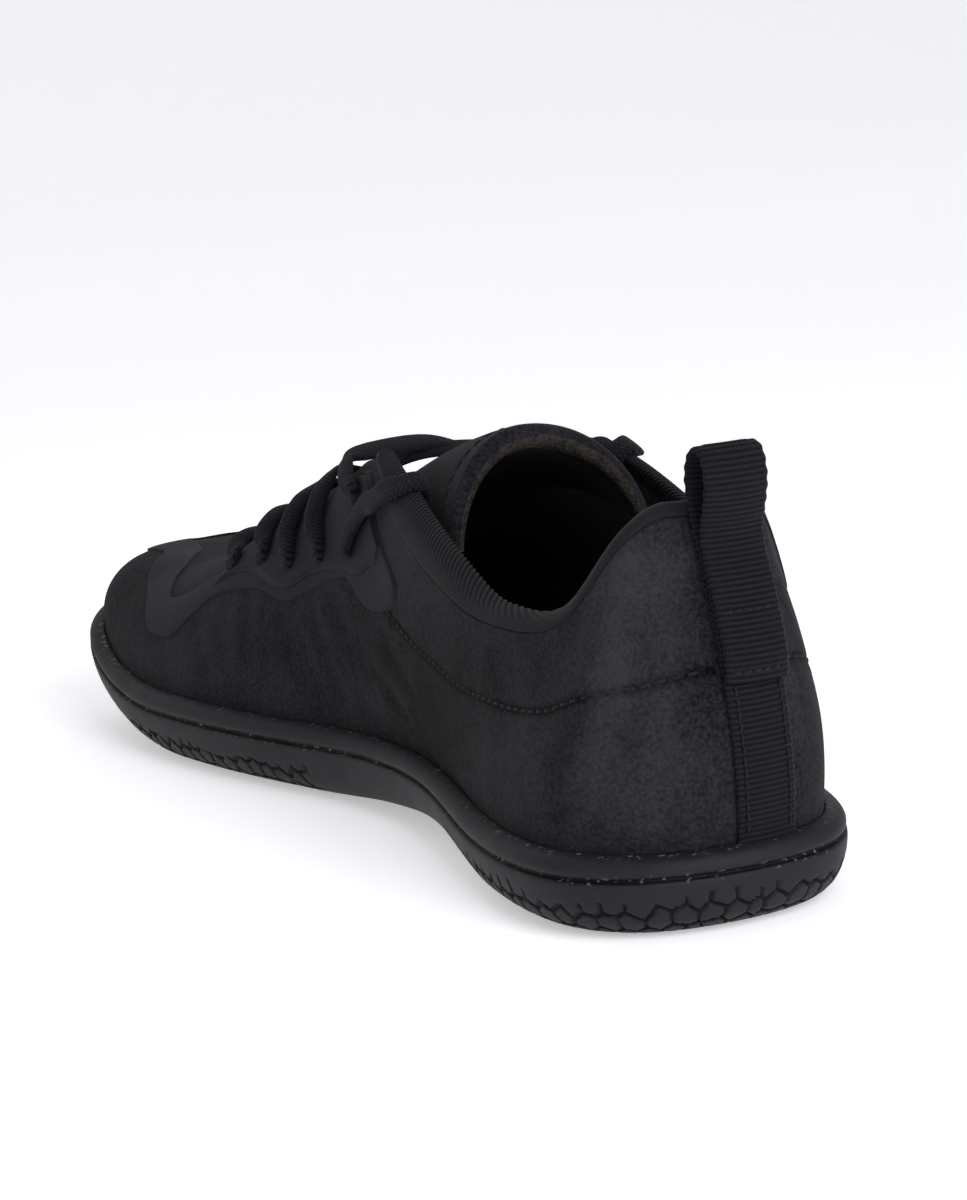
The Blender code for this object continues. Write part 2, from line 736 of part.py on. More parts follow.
def crossing_strand(name, eyelet, medial):
    """A strand from an eyelet over the edge and across the tongue to just short of the other edge."""
    station = 0.5 * sum(up_the_side(eyelet, side, 0.97)[-1][0][1] for side in (True, False))
    turn = 1 if medial else -1
    stops = up_the_side(eyelet, medial, 1.0)
    edge, across = stops[-1]
    stops.append((edge + 0.3 * (edge - stops[-2][0]) + np.array([0.0, 0.0, 0.4]), across))
    stops += [over_tongue(station + 2.0, 0.0), over_tongue(station + 4.0, turn * 25.0)]
    return ribbon(name, stops)


def make_lace():
    stops = up_the_side(EYELETS[0], True, 0.97)
    stops.append(over_tongue(stops[-1][0][1] + 3.0, 0.0))
    stops += up_the_side(EYELETS[0], False, 0.97)[::-1]
    ribbon("lace_bar", stops)
    for number, eyelet in enumerate(EYELETS[1:], 1):
        strand = crossing_strand(f"lace_cross_{number}", eyelet, True)
        boolean(strand, crossing_strand(f"lace_partner_{number}", eyelet, False), "UNION")


def make_lace_end(name, medial):
    """The last strand: from the rear eyelet up over the collar band, ending just inside it."""
    share, height = LAST_EYELET
    stops = []
    for step in np.linspace(0.0, 1.0, 4):
        here = share - LAST_LEAN * step if medial else float(other_side(share - LAST_LEAN_LATERAL * step))
        stops.append(lie(here, height + step * (0.94 - height), LACE_LIFT + 0.3 * step))
    low, up, out = (vector[0] for vector in band_frame(np.array([here])))
    along = stops[-1][1]
    over = up / np.linalg.norm(up)
    for rise, away, above in LAST_BEND:
        stops.append((low + up * rise + out * away + over * above, along))
    return ribbon(name, stops, LAST_WIDTH, 2 * LACE_STEPS)


def centre_on_floor():
    """Moves the shoe so that the middle of its box stands on the origin."""
    parts = [made for made in bpy.data.objects if made.type == "MESH"]
    shown = [vertex.co for made in parts if not made.hide_render for vertex in made.data.vertices]
    box = np.array([tuple(co) for co in shown])
    middle = 0.5 * (box.min(0) + box.max(0))
    for made in parts:
        made.data.transform(Matrix.Translation((-middle[0], -middle[1], 0.0)))


make_sole()
make_insole()
make_upper()
make_band()
make_tongue()
make_heel_strap()
make_pull_loop()
make_film()
make_lace()
make_lace_end("lace_end_medial", True)
make_lace_end("lace_end_lateral", False)
centre_on_floor()
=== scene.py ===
# %% [markdown]
# # A low nubuck sneaker, dressed over its CAD frame
# The frame is a right shoe that stands empty on its sole. Its solids have the true outline but plain, faceted
# faces. Each cell below makes one real piece of the shoe at a finer scale, from the same named sizes and tables
# as the solids, and gives it the finish of its material. Sizes are in millimetres until a mesh is made.

import bpy
import numpy as np
from mathutils import Matrix, Vector
from mathutils.bvhtree import BVHTree


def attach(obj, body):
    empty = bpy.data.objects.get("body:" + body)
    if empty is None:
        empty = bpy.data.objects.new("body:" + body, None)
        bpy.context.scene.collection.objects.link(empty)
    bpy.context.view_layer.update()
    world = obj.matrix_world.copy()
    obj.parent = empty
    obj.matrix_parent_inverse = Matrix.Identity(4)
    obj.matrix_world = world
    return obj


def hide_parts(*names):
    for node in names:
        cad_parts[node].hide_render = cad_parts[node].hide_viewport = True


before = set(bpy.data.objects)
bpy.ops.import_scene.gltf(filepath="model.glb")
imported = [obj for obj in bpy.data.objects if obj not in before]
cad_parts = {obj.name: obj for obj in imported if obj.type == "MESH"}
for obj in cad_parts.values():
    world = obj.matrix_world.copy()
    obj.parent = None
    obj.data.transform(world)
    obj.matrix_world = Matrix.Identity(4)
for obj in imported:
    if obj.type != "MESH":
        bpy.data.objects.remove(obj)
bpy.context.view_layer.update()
MM = 0.001
UP = np.array([0.0, 0.0, 1.0])
SIDES = ("medial", "lateral")
# from the tables' origin, under the heel, to the frame's
SHIFT = np.array([-4.783, -141.855, 0.0])
print("CAD nodes:", ", ".join(sorted(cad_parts)))

# %% [markdown]
# ## Camera
# The photograph looks at the shoe from behind and above its inner side, with the picture rolled a little. A
# camera could be placed by eye, but here its angles, distance and lens were solved from points of the sole and
# the collar, so every later piece can be compared with the photograph in the same pixels.

# %% Camera
PICTURE = (967.0, 1200.0)
VIEW_AZIMUTH, VIEW_ELEVATION, VIEW_ROLL = np.radians([-22.7, 9.6, -4.8])
VIEW_DISTANCE = 726.9
VIEW_TARGET = np.array([0.0, 142.5, 46.1])
FOCAL_PIXELS = 3431.7
VIEW_CENTRE = (440.4, 572.8)
SENSOR = 36.0


def make_camera():
    flat = np.cos(VIEW_ELEVATION)
    back = np.array([np.sin(VIEW_AZIMUTH) * flat, -np.cos(VIEW_AZIMUTH) * flat, np.sin(VIEW_ELEVATION)])
    level = np.array([np.cos(VIEW_AZIMUTH), np.sin(VIEW_AZIMUTH), 0.0])
    upright = np.cross(back, level)
    right = level * np.cos(VIEW_ROLL) + upright * np.sin(VIEW_ROLL)
    up = upright * np.cos(VIEW_ROLL) - level * np.sin(VIEW_ROLL)
    eye = (VIEW_TARGET + back * VIEW_DISTANCE + SHIFT) * MM
    lens = bpy.data.cameras.new("photo_camera")
    lens.sensor_width = SENSOR
    lens.lens = FOCAL_PIXELS / PICTURE[1] * SENSOR
    lens.shift_x = (PICTURE[0] / 2 - VIEW_CENTRE[0]) / PICTURE[1]
    lens.shift_y = (VIEW_CENTRE[1] - PICTURE[1] / 2) / PICTURE[1]
    lens.clip_start = 0.01
    camera = bpy.data.objects.new("photo_camera", lens)
    camera.matrix_world = Matrix([[*row, 0.0] for row in np.stack([right, up, back], 1)] + [[0, 0, 0, 1]])
    camera.matrix_world.translation = Vector(eye)
    bpy.context.scene.collection.objects.link(camera)
    bpy.context.scene.camera = camera
    print(f"camera lens {lens.lens:.1f} mm")


make_camera()

# %% [markdown]
# ## Sizes of the shoe
# A last is described by a few sections, so the shoe is too. Each table has a row per section, and the heel is at
# station 0 and the toe at the full length. The inner (medial) side is at -x. A sculpted mesh could give the
# same form, but then nothing could be placed on it by station and height.

# %% Named sizes
LENGTH = 285.0
CLEARANCE = 0.3
HEEL_TIP = (-3.0, 0.0)
TOE_TIP = (-10.0, LENGTH)
CUP_FLOOR = 5.0
CUP_WALL = 4.0
WALL = 2.0
INSOLE = 3.0
TONGUE_TIP = 5.2
TONGUE_ROOT = 3.0
TONGUE_SWEEP = 5.0
STRAP_FOOT = 0.4
STRAP_HEAD = -1.6
STRAP_WIDTH = 12.2
STRAP_TOP = 71.6
WEBBING = 1.2
HEEL_BOW = 0.9
FILM = 0.6
LACE_WIDTH = 4.4
LAST_WIDTH = 5.4
LACE_THICK = 1.8
LACE_LIFT = FILM + 2 * CLEARANCE + LACE_THICK / 2
print(f"shoe {LENGTH:.0f} mm long, webbing {STRAP_WIDTH} mm and lace {LACE_WIDTH} mm wide")

# %% Tables of the sole
# Plan of the sole: station from the heel, medial edge, lateral edge
PLAN = (
    (6.0, -26.0, 15.5),
    (16.0, -34.5, 23.5),
    (34.0, -38.0, 29.5),
    (60.0, -35.0, 33.5),
    (90.0, -29.0, 37.0),
    (116.0, -26.5, 40.0),
    (142.0, -29.5, 44.0),
    (170.0, -37.0, 49.5),
    (200.0, -43.5, 54.5),
    (228.0, -46.0, 55.0),
    (252.0, -44.5, 47.5),
    (268.0, -40.5, 36.0),
    (279.0, -32.0, 19.0),
)

# Side of the sole: station from the heel, height of the underside, height of the rim
PROFILE = (
    (0.0, 0.6, 16.1),
    (12.0, 0.0, 16.1),
    (52.0, 0.0, 16.1),
    (94.0, 2.8, 16.9),
    (128.0, 1.4, 17.1),
    (158.0, 0.0, 16.8),
    (210.0, 0.0, 16.6),
    (246.0, 5.6, 19.6),
    (268.0, 11.9, 25.6),
    (285.0, 17.8, 30.1),
)
print(len(PLAN), "rows of the plan,", len(PROFILE), "rows of the side")

# %% Tables of the upper and the collar
# Upper, one row per section: station on the sole, top edge (station, medial x, lateral x, medial height,
# lateral height), how far the wall rises and swells above the rim, how far it reaches and falls from the edge
UPPER = (
    (0.0, 10.6, -2.0, -2.0, 73.1, 73.1, 18.0, 4.6, 6.5, 16.0),
    (6.0, 11.4, -11.5, 5.8, 73.4, 73.4, 18.0, 4.4, 3.8, 16.0),
    (16.0, 14.6, -18.8, 10.2, 69.3, 68.6, 18.0, 3.4, 3.2, 14.0),
    (34.0, 27.0, -25.8, 19.8, 54.7, 54.7, 15.0, 1.5, 3.0, 12.0),
    (60.0, 52.0, -29.3, 30.0, 51.7, 51.7, 15.0, 2.0, 2.0, 12.0),
    (90.0, 78.0, -28.2, 33.0, 56.1, 56.1, 16.0, 5.0, 3.0, 14.0),
    (116.0, 103.0, -25.2, 32.5, 64.1, 64.1, 18.0, 6.5, 5.0, 16.0),
    (142.0, 125.0, -19.5, 28.5, 74.3, 73.1, 20.0, 5.0, 8.0, 14.0),
    (170.0, 151.0, -15.5, 24.5, 67.6, 66.1, 20.0, 3.5, 11.0, 9.0),
    (200.0, 177.0, -14.5, 22.0, 58.3, 55.3, 18.0, 2.0, 15.0, 6.0),
    (228.0, 199.0, -13.0, 18.5, 48.7, 44.4, 16.0, 1.5, 18.0, 3.0),
    (252.0, 214.0, -10.5, 14.5, 43.0, 38.8, 15.0, 1.0, 24.0, 0.5),
    (268.0, 221.0, -6.5, 9.5, 40.4, 37.7, 14.0, 0.5, 34.0, -2.4),
    (279.0, 224.0, -2.0, 5.5, 39.2, 38.0, 14.0, 0.0, 42.0, -4.0),
    (LENGTH, 225.0, 1.5, 1.5, 38.6, 38.6, 13.0, 0.0, 44.0, -4.4),
)

# Collar band: station on the sole, then its top line (station, medial x, lateral x, medial height,
# lateral height)
COLLAR = (
    (0.0, 12.0, -1.5, -1.5, 76.1, 76.1),
    (6.0, 12.6, -10.5, 5.4, 76.2, 76.2),
    (16.0, 16.2, -17.8, 9.4, 72.3, 71.6),
    (34.0, 29.0, -23.6, 17.9, 58.1, 58.1),
    (60.0, 51.0, -26.6, 27.8, 55.3, 55.3),
    (90.0, 76.0, -25.6, 30.4, 62.1, 62.1),
    (116.0, 100.0, -22.6, 29.8, 69.7, 69.7),
    (142.0, 123.5, -18.4, 27.4, 77.3, 75.9),
)
print(len(UPPER), "rows of the upper,", len(COLLAR), "rows of the collar")

# %% Tables of the tongue, the film and the eyelets
# Tongue: station, centre, half width on the medial and on the lateral side, crown height, drop of the sides
TONGUE_ROWS = (
    (91.0, -1.5, 18.5, 25.6, 82.5, 25.0),
    (106.0, 0.5, 18.0, 24.0, 79.7, 19.0),
    (121.0, 2.5, 17.0, 21.5, 75.9, 13.0),
    (141.0, 3.6, 17.4, 19.0, 69.1, 8.0),
    (161.0, 3.8, 17.0, 18.0, 61.7, 6.0),
    (181.0, 3.6, 16.0, 16.4, 53.3, 5.5),
    (201.0, 2.8, 13.4, 13.0, 44.0, 5.0),
    (219.0, 2.0, 10.0, 9.0, 36.0, 3.5),
    (232.0, 1.5, 7.0, 6.0, 31.9, 1.5),
)

# Overlay film: share round the upper on the medial side, lower and upper edge as shares of the wall's height
FILM_ROWS = (
    (0.2010, 0.685, 0.745),
    (0.2040, 0.635, 0.775),
    (0.2100, 0.570, 0.80),
    (0.2185, 0.506, 0.81),
    (0.2240, 0.488, 0.82),
    (0.2295, 0.490, 0.84),
    (0.2350, 0.505, 0.89),
    (0.2401, 0.526, 0.93),
    (0.2481, 0.512, 0.95),
    (0.2542, 0.490, 0.95),
    (0.2638, 0.455, 0.95),
    (0.2791, 0.41, 0.95),
    (0.2974, 0.45, 0.95),
    (0.3094, 0.46, 0.95),
    (0.3242, 0.45, 0.94),
    (0.3330, 0.42, 0.84),
    (0.3400, 0.35, 0.60),
    (0.3480, 0.25, 0.53),
    (0.3586, 0.23, 0.47),
    (0.3720, 0.24, 0.44),
    (0.3804, 0.29, 0.485),
    (0.3950, 0.385, 0.565),
    (0.4130, 0.455, 0.665),
    (0.4320, 0.540, 0.725),
    (0.4450, 0.580, 0.740),
    (0.4520, 0.530, 0.735),
    (0.4590, 0.440, 0.710),
    (0.4670, 0.340, 0.670),
    (0.4740, 0.300, 0.600),
    (0.4820, 0.275, 0.490),
    (0.4906, 0.265, 0.430),
)

# Eyelets from the toe up: share round the upper on the medial side, share of the wall's height, share that
# the lace leans forward by the time it reaches the edge
EYELETS = (
    (0.3345, 0.60, 0.042),
    (0.3094, 0.60, 0.036),
    (0.2853, 0.56, 0.032),
    (0.2638, 0.59, 0.033),
    (0.2480, 0.82, 0.026),
)
LAST_EYELET = (0.2420, 0.64)
LAST_LEAN = 0.031
LAST_LEAN_LATERAL = 0.041
print(len(TONGUE_ROWS), "rows of the tongue,", len(FILM_ROWS), "rows of the film,", len(EYELETS) + 1, "eyelets a side")

# %% [markdown]
# ## Curves through the tables
# Two kinds of curve are enough. A closed spline runs round the sole's plan, and a smooth curve without overshoot
# runs through the rows of a table. Blender's own curve objects could do this, but as functions they can be read
# at any share, which is what placing stitches, holes and edges on the shoe needs.

# %% Directions and distances


def unit(vectors):
    """The same directions with a length of 1."""
    return vectors / np.linalg.norm(vectors, axis=-1, keepdims=True)


def run_along(points):
    """Distance travelled to each point of a line."""
    return np.concatenate([[0.0], np.cumsum(np.linalg.norm(np.diff(points, axis=0), axis=1))])


print("from one corner of a 3 by 4 tile to the other:", run_along(np.array([[0, 0], [3, 4]]))[-1])

# %% Curves
CURVE_STEPS = 24


def closed_spline(points):
    """A smooth closed curve through points, as a function of the share of its chord length."""
    p = np.asarray(points, float)
    n = len(p)
    span = np.linalg.norm(np.roll(p, -1, 0) - p, axis=1)
    knots = np.concatenate([[0.0], np.cumsum(span)])
    left = np.zeros((n, n))
    right = np.zeros_like(p)
    for i in range(n):
        after = (i + 1) % n
        left[i, i - 1] += span[i - 1]
        left[i, i] += 2 * (span[i - 1] + span[i])
        left[i, after] += span[i]
        right[i] = 6 * ((p[after] - p[i]) / span[i] - (p[i] - p[i - 1]) / span[i - 1])
    bend = np.linalg.solve(left, right)

    def at(share):
        t = (np.asarray(share, float) % 1.0) * knots[-1]
        i = np.clip(np.searchsorted(knots, t, side="right") - 1, 0, n - 1)
        j = (i + 1) % n
        h = span[i][:, None]
        u = (t - knots[i])[:, None]
        w = h - u
        cubic = (bend[i] * w**3 + bend[j] * u**3) / (6 * h)
        return cubic + (p[i] / h - bend[i] * h / 6) * w + (p[j] / h - bend[j] * h / 6) * u

    return at, knots / knots[-1]


def smooth(x, y):
    """A smooth curve y(x) through the rows, with no overshoot at a peak or a dip."""
    x = np.asarray(x, float)
    y = np.asarray(y, float)
    rise = np.diff(y) / np.diff(x)
    slope = np.concatenate([[rise[0]], (rise[:-1] + rise[1:]) / 2, [rise[-1]]])
    slope[1:-1][rise[:-1] * rise[1:] <= 0] = 0.0

    def at(t):
        t = np.asarray(t, float)
        i = np.clip(np.searchsorted(x, t, side="right") - 1, 0, len(x) - 2)
        h = x[i + 1] - x[i]
        s = np.clip((t - x[i]) / h, 0, 1)
        start = (1 + 2 * s) * (1 - s) ** 2 * y[i] + s * (1 - s) ** 2 * h * slope[i]
        return start + s * s * (3 - 2 * s) * y[i + 1] + s * s * (s - 1) * h * slope[i + 1]

    return at


def through(points, count):
    """A rounded open curve through points, read at even steps of its length."""
    p = np.asarray(points, float)
    p = np.concatenate([[2 * p[0] - p[1]], p, [2 * p[-1] - p[-2]]])
    fine = []
    s = np.linspace(0.0, 1.0, CURVE_STEPS, endpoint=False)[:, None]
    for a, b, c, d in zip(p, p[1:], p[2:], p[3:]):
        fine.append(b + 0.5 * s * (c - a + s * (2 * a - 5 * b + 4 * c - d + s * (3 * (b - c) + d - a))))
    fine = np.concatenate([*fine, p[-2:-1]])
    run = run_along(fine)
    steps = np.linspace(0.0, run[-1], count)
    return np.stack([np.interp(steps, run, column) for column in fine.T], 1)


def ease(x):
    """0 below 0, 1 above 1, and a soft rise between."""
    x = np.clip(x, 0.0, 1.0)
    return x * x * (3 - 2 * x)


print("a quarter of the way through an ease:", ease(0.25))

# %% Curves of the sole
MEDIAL = [(medial, station) for station, medial, lateral in PLAN]
LATERAL = [(lateral, station) for station, medial, lateral in reversed(PLAN)]
PLAN_CURVE, PLAN_KNOTS = closed_spline([HEEL_TIP, *MEDIAL, TOE_TIP, *LATERAL])
TOE_SHARE = PLAN_KNOTS[len(PLAN) + 1]
STATIONS = [row[0] for row in PROFILE]
UNDERSIDE = smooth(STATIONS, [row[1] for row in PROFILE])
RIM = smooth(STATIONS, [row[2] for row in PROFILE])
print(f"toe at share {TOE_SHARE:.3f} of the plan")

# %% [markdown]
# ## The last's surface
# Every place on the upper has two numbers: its share round the plan, from the heel up the medial side to the toe
# and back down the lateral side, and its share of the wall's height from the sole's rim to the top edge. A
# Bezier curve makes each wall section, so the surface is smooth from any side.

# %% Round the plan
TIP_DRAW = 0.45
PLAN_STEP = 1e-3
KNOT = {station: 1 + i for i, (station, _, _) in enumerate(PLAN)}


def shares(count):
    """Shares round the plan, drawn closer at heel and toe."""
    even = np.linspace(0.0, 1.0, count // 2, endpoint=False)
    drawn = (1.0 - TIP_DRAW) * even + TIP_DRAW * (0.5 - 0.5 * np.cos(np.pi * even))
    return np.concatenate([TOE_SHARE * drawn, TOE_SHARE + (1.0 - TOE_SHARE) * drawn])


def inward(share):
    """The level way into the shoe from its plan."""
    along = unit(PLAN_CURVE(share + PLAN_STEP) - PLAN_CURVE(share - PLAN_STEP))
    return np.stack([along[:, 1], -along[:, 0]], 1)


def plan(inset, share):
    """Points of the plan, moved in by inset."""
    return PLAN_CURVE(share) + inward(share) * inset


def section_share(station, side="medial"):
    """Share round the plan of a section of the tables."""
    if not 0.0 < station < LENGTH:
        return TOE_SHARE if station >= LENGTH else 0.0
    return PLAN_KNOTS[KNOT[station] if side == "medial" else -1 - KNOT[station]]


def around_rows(rows, columns):
    """Smooth closed functions of the share; a medial column (2 or 4) is followed by its lateral one."""
    places = [(row, 0) for row in rows] + [(row, 1) for row in rows[::-1] if 0.0 < row[0] < LENGTH]
    share_of = np.array([section_share(row[0], SIDES[side]) for row, side in places])
    values = np.array([[row[c + side] if c in (2, 4) else row[c] for c in columns] for row, side in places])
    lapped = np.concatenate([share_of[-3:] - 1.0, share_of, share_of[:3] + 1.0])
    wrapped = np.concatenate([values[-3:], values, values[:3]])
    curves = [smooth(lapped, column) for column in wrapped.T]
    return lambda share: np.stack([curve(np.asarray(share) % 1.0) for curve in curves], 1)


print(f"ball of the foot at share {section_share(200.0):.3f} of the plan")

# %% The last's surface
FOOT_LIFT = 0.4
FACE_STEP = 2e-3
TOP_EDGE = around_rows(UPPER, (2, 1, 4, 6, 7, 8, 9))
BAND_TOP = around_rows(COLLAR, (2, 1, 4))


def upper_face(share, height):
    """Points of the upper's outer face, from the rim (height 0) to its top edge (height 1)."""
    share = np.asarray(share, float)
    edge = TOP_EDGE(share)
    top = edge[:, :3]
    rise, swell, reach, fall = edge[:, 3:].T
    foot = plan(CUP_WALL + CLEARANCE, share)
    rim = RIM(foot[:, 1])
    away = unit(foot - top[:, :2])
    p0 = np.column_stack([foot, rim + FOOT_LIFT])
    p1 = np.column_stack([foot - inward(share) * swell[:, None], rim + rise])
    p2 = np.column_stack([top[:, :2] + away * reach[:, None], top[:, 2] - fall])
    t = np.broadcast_to(height, share.shape)[:, None]
    return (1 - t) ** 3 * p0 + 3 * t * (1 - t) ** 2 * p1 + 3 * t * t * (1 - t) * p2 + t**3 * top


def upper_out(share, height):
    """Outward direction of the upper's face."""
    along = upper_face(share + FACE_STEP, height) - upper_face(share - FACE_STEP, height)
    up = upper_face(share, height + FACE_STEP) - upper_face(share, height - FACE_STEP)
    return unit(np.cross(up, along))


def on_upper(share, height, lift):
    """Points that stand off the upper's outer face by lift."""
    share = np.asarray(share, float)
    height = np.broadcast_to(np.asarray(height, float), share.shape)
    return upper_face(share, height) + upper_out(share, height) * np.broadcast_to(lift, share.shape)[:, None]


def other_side(share):
    """The share on the lateral side that faces a share on the medial side."""
    return 1.0 - np.asarray(share) * (1.0 - TOE_SHARE) / TOE_SHARE


def on_side(share, side):
    """A share of the medial side, or the one that faces it."""
    return share if side == "medial" else other_side(share)


print("heel collar height", round(float(upper_face(np.array([0.0]), 1.0)[0, 2]), 1), "mm")

# %% [markdown]
# ## Grids into meshes
# Nearly every piece of a shoe is a strip or a tube, so it can be a grid of points with a face between each four.
# Small functions close such a grid into a tube or a thin sheet. One more makes the mesh, turns it right side out,
# carries per-point marks for the materials to read, and ties the piece to the frame.

# %% Grid helpers
CHUNK = 4000


def grid_faces(rows, count, closed=True):
    """Quads between the rings of a grid."""
    i = np.arange(count if closed else count - 1)
    j = (i + 1) % count
    r = np.arange(rows - 1)[:, None] * count
    return np.stack([r + i, r + j, r + count + j, r + count + i], -1).reshape(-1, 4)


def tube_faces(rows, count, first=0):
    """Faces of a tube of rings with a lid at both ends."""
    ring = np.arange(count) + first
    return [*(grid_faces(rows, count) + first), ring[::-1], ring + (rows - 1) * count]


def closed_sheet(top, under):
    """Points and faces of a thin sheet between two grids of points."""
    rows, wide = top.shape[:2]
    size = rows * wide
    grid = np.arange(size).reshape(rows, wide)
    rim = np.concatenate([grid[0], grid[1:, -1], grid[-1, -2::-1], grid[-2:0:-1, 0]])
    after = np.roll(rim, -1)
    quads = grid_faces(rows, wide, closed=False)
    sides = np.stack([after, rim, rim + size, after + size], 1)
    return np.array([top, under]), np.concatenate([quads, quads[:, ::-1] + size, sides])


def cloth_mark(points, along, across):
    """The mark that a weave reads: two coordinates of each point, and 0 for a weave that shows in full."""
    return np.stack([points[..., along], points[..., across], 0 * points[..., along]], -1)


def near(points, line):
    """Distance of each point from a line of points."""
    flat = points.reshape(-1, 3)
    found = np.empty(len(flat))
    for first in range(0, len(flat), CHUNK):
        gap = flat[first : first + CHUNK, None] - line[None]
        found[first : first + CHUNK] = np.sqrt(np.einsum("ijk,ijk->ij", gap, gap).min(1))
    return found.reshape(points.shape[:-1])


def trough(gap, width):
    """A soft hollow: 1 on its line, and nothing left at about twice its width."""
    return np.exp(-((gap / width) ** 2))


print("3 rings of 4 points make", len(grid_faces(3, 4)), "faces, with lids", len(tube_faces(3, 4)))

# %% One piece


def make_piece(name, points, faces, finishes, slot, nodes=(), face_finish=None, marks=None):
    """A mesh turned right side out, with its finishes and marks, tied to the frame."""
    points = np.asarray(points, float).reshape(-1, 3)
    mesh = bpy.data.meshes.new(name)
    mesh.from_pydata(((points + SHIFT) * MM).tolist(), [], [list(map(int, face)) for face in faces])
    mesh.update()
    mesh.calc_loop_triangles()
    corners = np.array([triangle.vertices[:] for triangle in mesh.loop_triangles])
    for finish in finishes:
        mesh.materials.append(finish)
    if face_finish is not None:
        mesh.polygons.foreach_set("material_index", np.asarray(face_finish, np.int32))
    for mark, values in (marks or {}).items():
        kept = mesh.attributes.new(mark, "FLOAT_VECTOR", "POINT")
        kept.data.foreach_set("vector", np.asarray(values, np.float32).ravel())
    a, b, c = np.moveaxis(points[corners] - points.mean(0), 1, 0)
    if np.einsum("ij,ij", a, np.cross(b, c)) < 0:
        mesh.flip_normals()
    mesh.polygons.foreach_set("use_smooth", np.ones(len(mesh.polygons), bool))
    piece = bpy.data.objects.new(name, mesh)
    bpy.context.scene.collection.objects.link(piece)
    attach(piece, "root")
    if nodes:
        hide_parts(*nodes)
    print(f"{name}: {len(corners)} triangles")
    return piece


# %% [markdown]
# ## Materials
# Each finish starts from what the real material is and how its surface was made. Colours are written as they look
# on a screen and turned to linear light by one function. One function adds a node, sets it and links it, so the
# recipe of a material reads from top to bottom.

# %% Colour and node helpers


def colour(code):
    """sRGB hex to linear light."""
    srgb = np.array([int(code[i : i + 2], 16) for i in (1, 3, 5)]) / 255
    linear = np.where(srgb <= 0.04045, srgb / 12.92, ((srgb + 0.055) / 1.055) ** 2.4)
    return (*linear.tolist(), 1.0)


def wire(tree, node, sockets):
    """Set a node's inputs: a node links by its first open output, a socket links, anything else is a value."""
    for key, value in sockets.items():
        if isinstance(value, bpy.types.Node):
            value = next(output for output in value.outputs if output.enabled)
        if isinstance(value, bpy.types.NodeSocket):
            tree.links.new(value, node.inputs[key])
        else:
            node.inputs[key].default_value = value


def add(tree, kind, sockets, stops=(), **settings):
    """One node: sockets are its inputs, stops are a ramp's places and colours, settings its own properties."""
    node = tree.nodes.new("ShaderNode" + kind)
    for key, value in settings.items():
        setattr(node, key, value)
    for number, (place, code) in enumerate(stops):
        node.color_ramp.elements[number].position = place
        node.color_ramp.elements[number].color = colour(code)
    wire(tree, node, sockets)
    return node


def start_finish(name, **values):
    """An empty material with its shader set, and the place on the shoe in metres."""
    made = bpy.data.materials.new(name)
    made.use_nodes = True
    tree = made.node_tree
    shader = tree.nodes["Principled BSDF"]
    wire(tree, shader, {key.replace("_", " "): value for key, value in values.items()})
    print("finish:", name)
    return made, tree, shader, add(tree, "TexCoord", {}).outputs["Object"]


print("half grey on a screen is", round(colour("#808080")[0], 3), "in linear light")


# %% [markdown]
# ### Nubuck leather
# Nubuck is leather sanded on its grain side. The nap lies this way and that, so the black looks cloudy, with
# lighter smears where it was rubbed, and the grain below shows as fine dark wrinkles. Broad noise gives the clouds,
# a stretched noise gives the smears, warped cells give the wrinkles and a very fine noise gives the nap, which is
# drawn a little coarser than real fibres so that it shows at this distance.

# %% Nubuck leather
NAP_MM = 0.7
WRINKLE_MM = 1.1
WARP_MM = 2.6
MOTTLE_MM = 2.0
CLOUD_MM = 24.0
SMEAR_MM = 12.0


